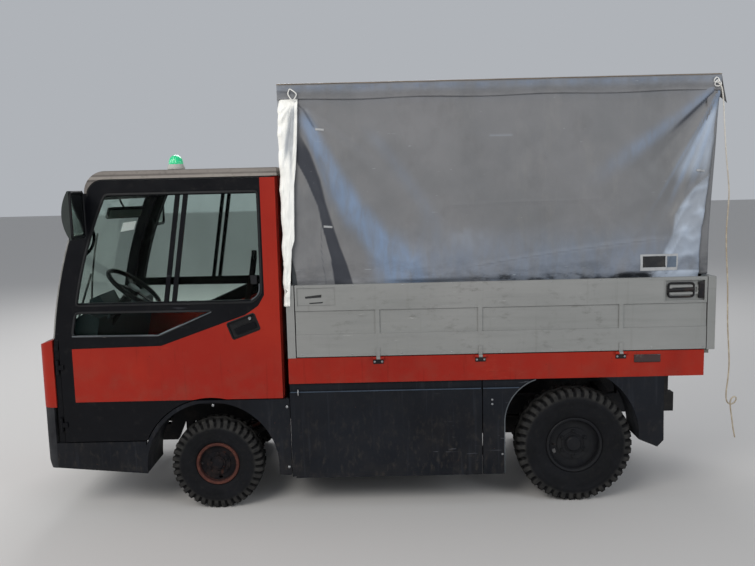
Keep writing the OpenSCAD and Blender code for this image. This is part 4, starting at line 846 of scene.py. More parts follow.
def side_folds(x, z, seed):
    """How far the side cloth stands out of its plane, and its shares of painted shade (with the cord's own dark line),
    painted sheen, painted highlight and dirt.

    The big fold is a narrow face that drops inwards, behind it the cloth rises to a long ridge and falls away
    slowly; thin ridges run out of the rear top corner; the strip below them is crumpled; the hem bulges."""
    front, back = line_x(FOLD_FRONT, z), line_x(FOLD_BACK, z)
    crest = line_x(SHEEN_RIDGE, z)
    depth = smooth(z, 2.26, 2.06)
    inside = smooth(x, front + 0.006, front - 0.006) * smooth(x, back - 0.014, back + 0.008)
    dropped = smooth(x, front + 0.010, back - 0.004)
    rise = smooth(x, back + 0.004, crest)
    fall = np.where(x < crest, bell(x - crest, 0.30), 1.0)
    out = depth * (0.009 - 0.019 * dropped * np.where(x < back, 1 - 0.75 * smooth(back - x, 0.10, 0.55), 1.0))
    out += 0.026 * depth * rise * fall
    out += 0.006 * smooth(z, 2.40, 2.2) * bell(x - line_x(MID_SHEEN, z), 0.09)
    out += radiating(x, z, REAR_CORNER, REAR_FOLDS) + radiating(x, z, FRONT_CORNER, FRONT_FOLDS)
    upper = bell(x - line_x(UPPER_CREASE, z), 0.011) * smooth(z, 2.18, 2.21) * smooth(z, 2.345, 2.32)
    out -= 0.005 * upper
    edge = line_x(BRIGHT_EDGE, z)
    crumpled = smooth(x, edge + 0.015, edge - 0.010) * smooth(z, 1.97, 1.90) * smooth(z, 1.32, 1.37)
    pressed = dents(x * 1.5 + 0.3 * z, z * 0.7 + 0.35 * x, 5 + seed, 0.115, 1.6)
    out += crumpled * (0.0065 * pressed + 0.004 * crumple(x, z, seed + 5, 0.55))
    out += 0.007 * bell(x - edge, 0.018) * smooth(z, 1.93, 1.85) * smooth(z, 1.45, 1.55)
    near_edge = smooth(x, line_x(REAR_EDGE, z) + 0.20, line_x(REAR_EDGE, z) + 0.02) * smooth(z, 2.38, 2.20)
    out += 0.003 * near_edge * dents(x * 1.4, z * 0.6 + 0.4 * x, 23 + seed, 0.07)
    slant = 1.397 + (x + 0.497) * (1.524 - 1.397) / (-1.593 + 0.497) - 0.016 * np.sin((x + 0.5) * 2.2)
    along = smooth(x, -0.42, -0.62) * smooth(x, -1.72, -1.55)
    out += 0.010 * along * smooth(z - slant, 0.022, -0.010) * smooth(z, 1.30, 1.40)
    seam = bell(z - (1.755 - 0.018 * (x + 0.43)), 0.006) * smooth(x, -0.38, -0.48) * smooth(x, -1.34, -1.22)
    out += 0.0022 * seam
    belly = smooth(z, 2.44, 2.0) * smooth(z, 1.28, 1.60)
    out += 0.0045 * belly * crumple(x, z * 0.8, seed)
    low = smooth(z, 1.85, 1.45)
    out += 0.0022 * low * dents(x, z, 31 + seed, 0.16) * smooth(x, 0.15, -0.05)
    out += 0.004 * smooth(z, 1.50, 1.37) * np.sin(x * 13 + 2.0 * np.sin(x * 3.1))
    out *= smooth(z, 2.425, 2.35)
    # painted shade: darkening of the big fold, the upper crease, the corner crease, the slanted fold, the seam, a dark
    # patch and the crumples; the cord line is the cord's own dark colour
    fold_shade_and_cord = inside * depth * (0.80 + 0.20 * smooth(z, 1.75, 1.40))
    fold_shade_and_cord = np.maximum(fold_shade_and_cord, 0.55 * upper)
    fold_shade_and_cord = np.maximum(fold_shade_and_cord, 0.45 * bell(x - line_x(CORD_LINE, z), 0.006) * smooth(z, 1.66, 1.64))
    dark_corner = radiating(x, z, REAR_CORNER, [((-1.660, 2.130), 0.018, 0.8)])
    fold_shade_and_cord = np.maximum(fold_shade_and_cord, np.clip(dark_corner, 0, 0.7))
    fold_shade_and_cord = np.maximum(fold_shade_and_cord, 0.40 * along * bell(z - slant, 0.007))
    fold_shade_and_cord = np.maximum(fold_shade_and_cord, 0.30 * seam)
    fold_shade_and_cord = np.maximum(fold_shade_and_cord, 0.32 * bell((x + 1.22) / 0.15, 1) * bell(z - 1.405, 0.030))
    fold_shade_and_cord = np.maximum(fold_shade_and_cord, 0.25 * crumpled * bell(pressed - 0.10, 0.08) * smooth(z, 1.56, 1.50))
    # painted sheen: blue sky reflected on the long ridge, on the ridges out of the rear corner, and along the top and
    # lower bands
    sheen = bell(x - crest, 0.050 + 0.05 * smooth(z, 2.2, 1.6)) * smooth(z, 2.34, 2.2)
    sheen += 0.28 * bell(x - line_x(MID_SHEEN, z), 0.07) * smooth(z, 2.3, 2.1) * smooth(z, 1.5, 1.75)
    sheen += np.clip(radiating(x, z, REAR_CORNER, [((-1.270, 1.900), 0.075, 0.55),
                                                   ((-1.690, 1.790), 0.018, 1.0),
                                                  ((-1.785, 1.860), 0.022, 0.9),
                                                  ((-1.585, 1.740), 0.014, 0.5)]), 0, 1)
    sheen += 0.30 * smooth(z, 2.26, 2.40) + 0.45 * smooth(z, 1.76, 1.44) * smooth(x, 0.10, -0.05)
    # painted highlight on the crumpled strip and on the pulled strip by the rear edge; a soft pale patch in the middle
    pale = crumpled * (0.50 + 0.30 * np.clip(pressed - 0.4, 0, 1)) * (1 - 0.45 * smooth(z, 1.47, 1.42))
    rear = line_x(REAR_EDGE, z)
    strip_in = rear + 0.03 + 0.22 * smooth(z, 2.36, 1.90)
    pulled = radiating(x, z, REAR_CORNER, [((-1.665, 1.790), 0.030, 0.8), ((-1.745, 1.800), 0.026, 0.9),
                                           ((-1.830, 1.850), 0.030, 0.9)])
    pale = np.maximum(pale, (0.22 + 0.50 * np.clip(pulled, 0, 1)) * smooth(x, strip_in, strip_in - 0.05)
                      * smooth(z, 2.36, 2.20) * smooth(z, 1.80, 1.95))
    pale = np.maximum(pale, 0.30 * bell(x + 0.55, 0.16) * bell(z - 1.58, 0.10)
                      * np.clip(0.5 + crumple(x, z, 61, 0.8), 0, 1))
    # painted highlight along the lower hem; a thin pale scratch above it
    hem = smooth(z, 1.372, 1.352) * np.maximum(0.22 * smooth(x, -0.62, -0.40), smooth(x, -1.52, -1.62))
    pale = np.maximum(pale, 0.75 * hem)
    scratch = bell(z - 2.137, 0.006) * smooth(x, -0.645, -0.665) * smooth(x, -0.80, -0.78)
    pale = np.maximum(pale, 0.45 * scratch)
    dirt = smooth(z, 1.372, 1.345) * smooth(x, -0.40, -0.70) * smooth(x, -1.74, -1.66)
    dirt = np.maximum(dirt, 0.25 * smooth(z, 1.50, 1.36))
    marks = {"fold_shade_and_cord": np.clip(fold_shade_and_cord, 0, 1), "sheen": np.clip(sheen, 0, 1) * (1 - inside * depth),
             "pale": np.clip(pale, 0, 1) * (1 - inside * depth), "dirt": dirt}
    return out, marks


def cloth(name, shape, finish, replaces=(), attributes=None, thickness=0.0016):
    made = piece(name, shape, finish, "vehicle", replaces, angle=180, outward=False,
                 attributes=attributes, thickness=thickness)
    return made


def lying(points, faces, side):
    """The faces of a grid, turned over on the other side so that they look outwards."""
    return points, faces[:, ::-1] if side < 0 else faces


def make_side_sheets():
    """Side cloth: heights run down the sheet, lengths from front to back; its edges follow the tucked corners."""
    rows, columns = 125, 250
    down = np.linspace(0, 1, rows)[None, :]
    back = np.linspace(0, 1, columns)[:, None]
    for name, side in SIDES:
        z = 2.428 + (SIDE_LOW - 2.428) * down + 0 * back
        front = 0.500 - 0.062 * smooth(z, 1.62, 1.335)
        rear = line_x(REAR_EDGE, z)
        x = front + (rear - front) * back
        out, marks = side_folds(x, z, 3 if side > 0 else 11)
        y = side_plane(x, z) + out * smooth(z, 1.325, 1.350)
        ends = np.minimum(smooth(x, 0.50, 0.44), smooth(x, rear, rear + 0.03))
        y = np.where(z > 1.33, y, np.minimum(y, 0.6205)) - 0.004 * (1 - ends)
        points, faces = grid(np.stack([x, side * y, z], -1))
        tabs = [make_tab(f"tie_tab_{name}_{i}", *place, side) for i, place in enumerate(
            ((0.281, 2.189), (0.252, 1.650), (-1.828, 1.915)))]
        cloth(f"side_cloth_{name}", lying(points, faces, side), "canvas",
              attributes=marks,
              replaces=["cover_sides"] if side > 0 else ())


def make_tab(name, x, z, side):
    """A short white tape, lying on the cloth."""
    u = np.linspace(-0.024, 0.024, 13)[:, None]
    v = np.linspace(-0.006, 0.006, 5)[None, :]
    out, _ = side_folds(x + u + 0 * v, z + v + 0.1 * u, 3 if side > 0 else 11)
    y = side_plane(x + u + 0 * v, z + v + 0 * u) + out + 0.0022
    lift = 0.0008 * np.cos(u / 0.024 * 2.5) + 0 * v
    points, faces = grid(np.stack([x + u + 0 * v, side * (y + lift), z + v + 0.1 * u], -1))
    return piece(name, lying(points, faces, -side), "tape", "vehicle", thickness=0.0008, angle=180)


def make_roof_sheet():
    """Roof cloth: a flat rectangle whose overhanging border turns down round an 8 mm edge.

    A border point at distance d past the edge lies at sin(d/r) outwards and 1-cos(d/r) down, then straight down."""
    half_x, half_y, radius, middle = 1.2095, 0.6385, 0.008, -0.7095
    border = HEM_DEPTH + radius * math.pi / 2
    a = np.concatenate([np.linspace(-half_x - border, -half_x, 20)[:-1], np.linspace(-half_x, half_x, 150),
                        np.linspace(half_x, half_x + border, 20)[1:]])[:, None]
    b = np.concatenate([np.linspace(-half_y - border, -half_y, 20)[:-1], np.linspace(-half_y, half_y, 54),
                        np.linspace(half_y, half_y + border, 20)[1:]])[None, :]
    ca, cb = np.clip(a, -half_x, half_x), np.clip(b, -half_y, half_y)
    over_a, over_b = a - ca + 0 * b, b - cb + 0 * a
    past = np.hypot(over_a, over_b)
    away = np.maximum(past, 1e-9)
    turn = np.minimum(past / radius, math.pi / 2)
    out = radius * np.sin(turn)
    drop = radius * (1 - np.cos(turn)) + np.maximum(past - radius * math.pi / 2, 0)
    x = middle + ca + over_a / away * out
    y = cb + over_b / away * out
    hoops = np.array([-1.880, -1.108, -0.336, 0.441])
    near = np.min(np.abs(x[..., None] - hoops), -1)
    sag = 0.012 * smooth(near, 0.03, 0.38) * smooth(np.abs(y), 0.64, 0.35) + 0.004 * smooth(np.abs(y), 0.64,
                                                                                            0.1)
    hang = smooth(drop, 0.0, 0.02)
    z = CLOTH_TOP - drop * (1 + 0.04 * np.sin(x * 9 + 1)) - sag * (1 - hang)
    wave = (0.0010 + 0.0012 * np.sin(x * 11) + 0.0016 * dents(x, z * 2.5, 8, 0.045) * smooth(x, 0.30,
                                                                                             0.40)) * hang
    y = y + np.sign(y) * (wave - (0.0030 + 0.0015 * smooth(x, 0.37, 0.32)) * smooth(drop, 0.045, 0.080))
    x = x + np.where(np.abs(a) > half_x, np.sign(a) * 0.0012 * (1 + np.sin(y * 13)) * hang, 0)
    # painted shade on the hem over the flap, a painted blue sheen of reflected sky on the hanging hem that fades
    # downwards, painted highlight on the hem over the flap; dirt in the sags and on the hem
    marks = {"fold_shade_and_cord": 0.45 * hang * bell(z - 2.392 - 0.10 * (x - 0.44), 0.010) * smooth(x, 0.36, 0.40),
             "sheen": hang * (0.50 - 0.38 * smooth(drop, 0.02, 0.075)),
             "pale": 0.22 * hang * smooth(x, 0.385, 0.41),
             "dirt": 0.20 * smooth(sag, 0.004, 0.014) + 0.15 * hang}
    points, faces = grid(np.stack([x, y, z], -1))
    binding = make_binding(middle, half_x + radius, half_y + radius)
    cloth("roof_cloth", (points, faces), "canvas",
          ["cover_roof"], marks)


def make_binding(middle, half_x, half_y):
    """Sewn brown binding: a thin flat band that follows the roof's upper edge."""
    corners = []
    r = 0.010
    for cx, cy, start in ((1, 1, 0), (-1, 1, 90), (-1, -1, 180), (1, -1, 270)):
        for step in range(7):
            t = math.radians(start + step * 15)
            corners.append((middle + cx * (half_x - r) + r * math.cos(t), cy * (half_y - r) + r * math.sin(t)))
    path = np.array([(x, y, CLOTH_TOP - 0.0045) for x, y in corners])
    long_path = []
    for i, start in enumerate(path):
        end = path[(i + 1) % len(path)]
        count = max(1, int(np.linalg.norm(end - start) / 0.05))
        long_path += [start + (end - start) * k / count for k in range(count)]
    long_path = np.array(long_path)
    long_path[:, 2] += 0.0009 * np.sin(long_path[:, 0] * 21 + long_path[:, 1] * 17)
    section = [(-1.0, -0.25), (1.0, -0.25), (1.0, 0.25), (-1.0, 0.25)]
    shape = tube(long_path, 0.0048, closed=True, section=section)
    return piece("roof_binding", shape, "binding", "vehicle", angle=60)


def make_front_sheet():
    """Front curtain with a flap round each corner: the length runs from the left flap's edge, round a 20 mm
    corner, across the front and back along the other side. Folds run out of the point where the flap is tied."""
    rows, across = 130, 64
    width, radius = 0.6430, 0.020
    down = np.linspace(0, 1, rows)[None, :]
    z = 2.434 + (1.205 - 2.434) * down
    loose = smooth(z, 2.350, 2.290)
    face_x = 0.5035 + 0.0085 * loose
    flap = face_x - radius - line_x(FLAP_EDGE, z)
    corner = np.linspace(0, 1, 14)[:, None]
    side_u = np.linspace(0, 1, 30)[:-1, None]
    front_u = np.linspace(-1, 1, across)[:, None]
    turn = corner * math.pi / 2
    puff = loose * (0.0055 * crumple(z * 0.6 + 0 * corner, z, 21, 0.30) + 0.004 * np.sin(z * 38))

    def corner_part(sign):
        """Flap then corner, from the flap's rear edge to the front face; the other side is its mirror image."""
        fx = face_x - radius - flap * (1 - side_u)
        zz = z + 0 * side_u
        folds = radiating(fx, zz, FLAP_TIE, FLAP_FOLDS) + 0.0035 * dents(fx * 1.5, zz * 0.7 + fx, 40 + sign,
                                                                         0.055)
        fy = width + loose * (0.009 + folds + 0.004 * crumple(fx * 2.2, zz, 33 + sign,
                                                              0.34) * smooth(side_u, -0.1, 0.35))
        cx = face_x - radius + radius * np.sin(turn) + 0.5 * puff * np.sin(turn)
        cy = fy[-1:] + 0 * turn - radius + radius * np.cos(turn) + puff * np.cos(turn) * 0.6
        x = np.concatenate([fx + 0 * z, cx + 0 * z])
        y = np.concatenate([fy, cy + 0 * z])
        # painted shade in the flap's hollows and along its rear edge
        hollow = np.clip(radiating(fx, zz, FLAP_TIE,
                                   [((0.472, 2.040), 0.026, 1.5), ((0.452, 1.900), 0.014, 0.9),
                                                      ((0.500, 2.280), 0.012, 0.8)]), 0, 1)
        hem = 0.30 * smooth(side_u, 0.20, 0.0) * smooth(zz, 1.50, 1.60)
        shade = np.concatenate([np.maximum(hollow * 0.60, hem) * loose, np.zeros_like(cx + 0 * z)])
        return x, y * sign, shade

    lx, ly, left_shade = corner_part(1)
    rx, ry, right_shade = corner_part(-1)
    fy = -front_u[1:-1] * (ly[-1:] + 0 * front_u[1:-1])
    bulge = 0.006 * crumple(fy, z + 0 * fy, 44, 0.9) * smooth(np.abs(fy), 0.63, 0.5)
    fx = face_x + loose * bulge - 0.004 * smooth(z, 2.35, 2.2)
    x = np.concatenate([lx, fx, rx[::-1]])
    y = np.concatenate([ly, fy, ry[::-1]])
    zz = np.broadcast_to(z, x.shape).copy()
    # painted shade in the wrinkles; the hollows also get a painted blue sheen
    wrinkled = np.clip(0.5 * np.abs(crumple(x * 3 + y * 2, zz, 50, 0.3)) - 0.25, 0, 1)
    shade = np.concatenate([left_shade, 0 * fx, right_shade[::-1]])
    marks = {"fold_shade_and_cord": np.maximum(0.25 * wrinkled, shade), "sheen": 0.6 * shade, "pale": 0 * zz,
             "dirt": 0.22 * smooth(zz, 1.5, 1.2)}
    points, faces = grid(np.stack([x, y, zz], -1))
    # the front curtain wears the paler, sunlit copy of the canvas as painted light
    cloth("front_cloth", (points, faces[:, ::-1]), "sunlit_canvas",
          ["cover_ends"], marks)


def make_rear_sheet():
    """Rear curtain: hangs in shallow upright waves and leans in towards the gate, and its side edges are turned
    forward round the corner, on an arc of 16 mm, behind the side cloths."""
    z = 2.432 + (1.335 - 2.432) * np.linspace(0, 1, 100)[None, :]
    radius, wrap = 0.016, 0.050
    face_x = -1.9205 + 0.0225 * smooth(z, 2.30, 1.45)
    half = 0.6365 - 0.0235 * smooth(z, 2.42, 1.45)
    back = np.linspace(1, 0, 8)[:-1, None]
    turn = (np.linspace(0, 1, 9) * math.pi / 2)[:, None]
    edge_x = np.concatenate([face_x + radius + wrap * back, face_x + radius * (1 - np.sin(turn))])
    edge_y = np.concatenate([half + 0 * back, half - radius * (1 - np.cos(turn))])
    across = np.linspace(1, -1, 96)[1:-1, None] * (half - radius)
    deep = smooth(z, 2.40, 1.5)
    wave = 0.004 * deep * np.sin(across * 21 + 1.5 * np.sin(z * 3)) + 0.004 * crumple(across + 0 * z, z, 71,
                                                                                      1.1)
    middle = face_x - np.abs(wave) * smooth(np.abs(across), 0.61, 0.54) * smooth(z, 2.42, 2.30)
    x = np.concatenate([edge_x, middle, edge_x[::-1]])
    y = np.concatenate([edge_y, across + 0 * z, -edge_y[::-1]])
    zz = np.broadcast_to(z, x.shape).copy()
    # painted shade on the edges turned behind the side cloths; dirt low down
    marks = {"fold_shade_and_cord": 0.25 * smooth(x, -1.905, -1.89), "sheen": 0 * zz, "pale": 0 * zz,
             "dirt": 0.5 * smooth(zz, 1.55, 1.34)}
    ear = make_hem_ear()
    points, faces = grid(np.stack([x, y, zz], -1))
    cloth("rear_cloth", (points, faces[:, ::-1]), "canvas", (), marks)


def make_hem_ear():
    """The roof's rear hem hangs open at its corners: a strip that widens downwards and leans away from the curtain."""
    ears = []
    for name, side in SIDES:
        along = np.linspace(0, 1, 24)[:, None]
        down = np.linspace(0, 1, 12)[None, :]
        drop = 0.036 + 0.112 * (1 - along) ** 1.6
        y = 0.641 - 0.300 * along + 0.004 * np.sin(down * 3) * (1 - along)
        x = -1.9300 - (0.030 * (1 - along) ** 1.5 * down ** 1.3) - 0.003 * np.sin(along * 9) * down
        z = 2.428 - drop * down
        points, faces = grid(np.stack([x + 0 * z, side * (y + 0 * z), z], -1))
        zero = np.zeros(len(points))
        # each hem ear gets even painted shade and a little dirt
        ears.append(piece(f"hem_ear_{name}", lying(points, faces[:, ::-1], side), "canvas", "vehicle",
                          angle=180,
                          outward=False, thickness=0.0016, attributes={
                              "fold_shade_and_cord": zero + 0.2, "sheen": zero, "pale": zero, "dirt": zero + 0.2}))
    return ears


def make_canopy_fittings():
    """Blank patch, white loops at the corners and the knot that the loose rope hangs from."""
    u = np.linspace(-1.718, -1.504, 20)[:, None]
    v = np.linspace(1.361, 1.454, 10)[None, :]
    out, _ = side_folds(u + 0 * v, v + 0 * u, 3)
    y = side_plane(u, v) + out * smooth(v, 1.325, 1.35) + 0.0026
    patch = piece("blank_patch", lying(*grid(np.stack([u + 0 * v, y, v + 0 * u], -1)), -1), "tape", "vehicle",
                  angle=180, outward=False)
    for k, (x0, x1, z0, z1, finish) in enumerate((
            (-1.518, -1.646, 1.380, 1.443, "dark_grime"), (-1.655, -1.709, 1.378, 1.441, "patch_grey"))):
        fu = np.linspace(x1, x0, 14)[:, None]
        fv = np.linspace(z0, z1, 8)[None, :]
        out, _ = side_folds(fu + 0 * fv, fv + 0 * fu, 3)
        fy = side_plane(fu, fv) + out * smooth(fv, 1.325, 1.35) + 0.0036
        field = np.stack([fu + 0 * fv, fy, fv + 0 * fu], -1)
        piece(f"patch_field_{k}", lying(*grid(field), -1), finish, "vehicle", angle=180,
              outward=False)
    loops = []
    for side in (1, -1):
        diamond = [(0.436, 0.6545, 2.409), (0.443, 0.6550, 2.398), (0.446, 0.6555, 2.380),
                   (0.423, 0.6560, 2.350),
                   (0.401, 0.6555, 2.378), (0.416, 0.6550, 2.397)]
        path = np.array(diamond) * (1, side, 1)
        loops.append(tube(smooth_path(path, 4, closed=True), 0.0035, 8, closed=True))
        for centre, r in (((-1.905, 0.652, 2.386), 0.016), ((-1.897, 0.653, 2.404), 0.013)):
            turn = np.linspace(0, 2 * math.pi, 25)[:-1]
            ring = np.stack([centre[0] + r * np.cos(turn), side * (centre[1] + 0.006 * np.sin(turn * 2)),
                             centre[2] + r * np.sin(turn)], -1)
            loops.append(tube(ring, 0.0035, 8, closed=True))
    piece("rope_loops", join(*loops), "tape_rope", "vehicle", angle=180)


# Wheels

def tyre_shape(axle, middle_y, diameter, width, rim_d, lugs, side):
    """Surface of revolution whose radius and half width come from a section, less the tread's grooves.

    The section runs from bead to bead. Grooves: slanted cuts between shoulder lugs, half a pitch apart left and
    right, a zigzag one on each side of the crown, and fine rings on the wall."""
    r, rr, b = diameter / 2, rim_d / 2, width / 2
    h = r - rr
    key = np.array([(rr + 0.001, 0.60), (rr + 0.012, 0.66), (rr + 0.018, 0.82), (rr + h * 0.30, 0.955),
                    (rr + h * 0.52, 1.0), (rr + h * 0.72, 0.985), (rr + h * 0.86, 0.945),
                    (rr + h * 0.945, 0.885),
                    (rr + h * 0.985, 0.79), (r - 0.0015, 0.66), (r, 0.35), (r, 0.0)])
    half = smooth_path(np.column_stack([key[:, 0], key[:, 1] * b, np.zeros(len(key))]), 4)[:, :2]
    section = np.concatenate([half, (half * (1, -1))[::-1][1:]])
    count = lugs * 10
    angle = (np.arange(count) * 2 * math.pi / count)[:, None]
    radius, across = section[:, 0][None, :], section[:, 1][None, :]
    share = np.abs(across) / b
    pitch = angle * lugs / (2 * math.pi)
    lean = np.where(across > 0, 0.5, 0.0) + 0.45 * share
    cut = np.abs((pitch + lean) % 1.0 - 0.5) * 2
    crown = smooth(radius, r - 0.052, r - 0.034)
    gap = smooth(cut, 0.52, 0.68) * crown * smooth(share, 0.24, 0.34)
    zig = 0.17 * b * (np.abs((pitch * 0.5) % 1.0 - 0.5) * 4 - 1)
    middle = 1 - smooth(np.abs(np.abs(across) - 0.27 * b - zig * np.sign(across)), 0.006, 0.011)
    groove = np.maximum(gap, middle * smooth(radius, r - 0.012, r - 0.004))
    rings = 0.0011 * np.sin((radius - rr) * 2 * math.pi / 0.0125) * smooth(share, 0.90, 0.96) * (1 - crown)
    guard = 0.0028 * bell(radius - rr - h * 0.22, 0.005) + 0.0022 * bell(radius - rr - h * 0.62, 0.004)
    side_out = np.sign(across) * (rings + guard * (1 - crown))
    deep = 0.0125 * groove
    radial = radius - deep * (0.35 + 0.65 * smooth(share, 0.98, 0.80))
    sideways = across + side_out - np.sign(across) * deep * 0.65 * smooth(share, 0.80, 0.97)
    x = axle[0] + radial * np.sin(angle)
    z = axle[1] + radial * np.cos(angle)
    y = middle_y + side * sideways + 0 * angle
    points, faces = grid(np.stack([x, y, z], -1), close_u=True, close_v=True)
    worn = 0.9 * (1 - 0.6 * groove) * smooth(radius, r - 0.060, r - 0.040) + 0.10 + 0 * x
    return (points, faces if side < 0 else faces[:, ::-1]), {"groove": groove + 0 * angle, "worn": worn}


def hexagons(centre, ring_r, count, size, height, out):
    """Hexagon nuts in a circle in an upright plane, standing outwards."""
    shapes = []
    for k in range(count):
        t = 2 * math.pi * k / count
        base = (centre[0] + ring_r * math.sin(t), centre[1], centre[2] + ring_r * math.cos(t))
        shapes.append(turned([(0, size), (height * 0.8, size), (height, size * 0.8)], base, (0, out, 0), 6))
        shapes.append(turned([(height, size * 0.5), (height * 1.6, size * 0.5)], base, (0, out, 0), 8))
    return shapes


def make_wheels():
    """Tyres with their marks, and the nuts and hubs on the rims."""
    for name, side in SIDES:
        for where, axle, y, d, w, rim_d, lugs in (
                ("front", FRONT_AXLE, 0.540, 0.540, 0.160, 0.229, 38),
                ("rear", REAR_AXLE, 0.526, 0.676, 0.188, 0.306, 42)):
            body = f"{where}_wheel_{name}"
            shape, marks = tyre_shape(axle, side * y, d, w, rim_d, lugs, side)
            piece(f"{where}_tread_{name}", shape, "rubber", body, [f"{where}_tyre_{name}"],
                  angle=180,
                  outward=True, attributes=marks)
            finish = "rusty_rim" if where == "front" else "black_rim"
            disc = side * (y + (0.034 + 0.012 if where == "front" else 0.032 + 0.012))
            r = rim_d / 2
            centre = (axle[0], disc, axle[1])
            shapes = hexagons(centre, r * 0.50, 6, 0.011, 0.010, side)
            shapes.append(turned([(-0.004, r * 0.30), (0.012, r * 0.29), (0.018, r * 0.25), (0.020, 0.0)],
                                 centre,
                                 (0, side, 0), 40))
            ring = turned([(-0.003, 0.069), (0.0035, 0.068), (0.0045, 0.065), (0.0035, 0.062), (-0.003, 0.061)],
                          centre, (0, side, 0), 56)
            if where == "rear":
                shapes.append((ring[0], ring[1][:-2]))
            piece(f"{where}_nuts_{name}", join(*shapes), finish, body, angle=30)
            flange = r + 0.003
            half = w * 0.31 + 0.010
            ring = turned([(0.0, flange), (0.004, flange + 0.007), (0.009, flange + 0.008),
                           (0.012, flange + 0.004),
                           (0.010, flange - 0.006), (0.002, flange - 0.012), (0.0, flange - 0.012)],
                          (axle[0], side * (y + half - 0.004), axle[1]), (0, side, 0), 72)
            del ring[1][-2:]
            piece(f"{where}_flange_{name}", ring, finish, body, angle=40)
            place = (axle[0] + r * 0.86, side * (y + half), axle[1] + 0.01)
            stem = turned([(0, 0.0045), (0.018, 0.0045), (0.020, 0.0055), (0.030, 0.0055), (0.031, 0.0)], place,
                          (-0.5, side, 0.1), 10)
            piece(f"{where}_valve_{name}", stem, "dark_steel", body, angle=40)


# Flat and bent fittings

def plate(outline, y0, y1):
    """An outline of (x, z) corners, made thick from y0 to y1."""
    flat = np.asarray(outline, float)
    n = len(flat)
    near = np.column_stack([flat[:, 0], np.full(n, y0), flat[:, 1]])
    far = np.column_stack([flat[:, 0], np.full(n, y1), flat[:, 1]])
    walls = [[i, (i + 1) % n, (i + 1) % n + n, i + n] for i in range(n)]
    return np.concatenate([near, far]), walls + [list(range(n))[::-1], list(range(n, 2 * n))]


def flipped(shape, side):
    """The shape itself on the left, its mirror image on the right."""
    return shape[0] * (1, side, 1), shape[1]


def strip(path, section, up=(0, 1, 0), closed=False):
    """Carries a section of (sideways, upward) pairs along a path, with its upward axis held along up."""
    path = np.asarray(path, float)
    ahead = np.roll(path, -1, 0) - np.roll(path, 1, 0)
    if not closed:
        ahead[0], ahead[-1] = path[1] - path[0], path[-1] - path[-2]
    sideways = np.cross(ahead, up)
    sideways /= np.linalg.norm(sideways, axis=1)[:, None]
    section = np.asarray(section, float)
    points = path[:, None] + section[None, :, :1] * sideways[:, None] + section[None, :, 1:] * np.asarray(up,
                                                                                                          float)
    p, f = grid(points, close_u=closed, close_v=True)
    return p, f.tolist() + ([] if closed else caps(len(section), len(path)))


def rounded_box(centre, size, edge, bulge=0.0, steps=26):
    """A box with soft edges: a cube's six faces as grids, pushed out to the surface of a rounded box.

    Each cube point p is split into a core point c, p clipped to the box less its edge radius, and the direction
    from c to p; the surface is c + edge * direction. bulge crowns each face by the product of two cosines."""
    size, half = np.asarray(size, float), np.asarray(size, float) / 2
    line = np.sin(np.linspace(-1, 1, steps) * math.pi / 2)
    a, b = np.meshgrid(line, line, indexing="ij")
    one = np.ones_like(a)
    shapes = []
    for axis in range(3):
        for sign in (-1, 1):
            cube = [None, None, None]
            cube[axis], cube[(axis + 1) % 3], cube[(axis + 2) % 3] = sign * one, a, b
            p = np.stack(cube, -1) * half
            core = np.clip(p, -(half - edge), half - edge)
            away = p - core
            away /= np.maximum(np.linalg.norm(away, axis=-1), 1e-9)[..., None]
            p = core + edge * away
            rise = bulge * np.cos(a * math.pi / 2) ** 0.8 * np.cos(b * math.pi / 2) ** 0.8
            p[..., axis] += sign * rise
            points, faces = grid(p)
            shapes.append((points + centre, faces if sign > 0 else faces[:, ::-1]))
    return join(*shapes)


def welded(made, gap=0.0004):
    """Joins the points of a piece that lie on each other, and turns its faces outwards."""
    work = bmesh.new()
    work.from_mesh(made.data)
    bmesh.ops.remove_doubles(work, verts=work.verts, dist=gap)
    bmesh.ops.recalc_face_normals(work, faces=work.faces)
    work.to_mesh(made.data)
    work.free()
    made.data.update()
    return made


# Cab fittings

SCREEN_CENTRE, SCREEN_RADIUS = (-0.83632, 0.74855), 2.7


def screen_x(z, inset=0.0):
    """X of the windscreen's arc at height z, a distance inset behind its outer face."""
    return SCREEN_CENTRE[0] + np.sqrt((SCREEN_RADIUS - inset) ** 2 - (np.asarray(z, float) - SCREEN_CENTRE[1]) ** 2)


def rounded_corners(corners, radius, steps):
    """A closed path through corners, each one rounded by a short curve that starts within radius of it."""
    corners = np.asarray(corners, float)
    path = []
    for i, c in enumerate(corners):
        a, b = corners[i - 1] - c, corners[(i + 1) % len(corners)] - c
        ra = min(radius, np.linalg.norm(a) * 0.45)
        rb = min(radius, np.linalg.norm(b) * 0.45)
        start, end = c + a / np.linalg.norm(a) * ra, c + b / np.linalg.norm(b) * rb
        for t in np.linspace(0, 1, steps):
            path.append((1 - t) ** 2 * start + 2 * t * (1 - t) * c + t * t * end)
    return np.array(path)


def window_line(corners, y, radius=0.03, steps=5):
    """A closed path round a window, with its corners rounded by short curves."""
    path = rounded_corners(corners, radius, steps)
    return np.column_stack([path[:, 0], np.full(len(path), y), path[:, 1]])


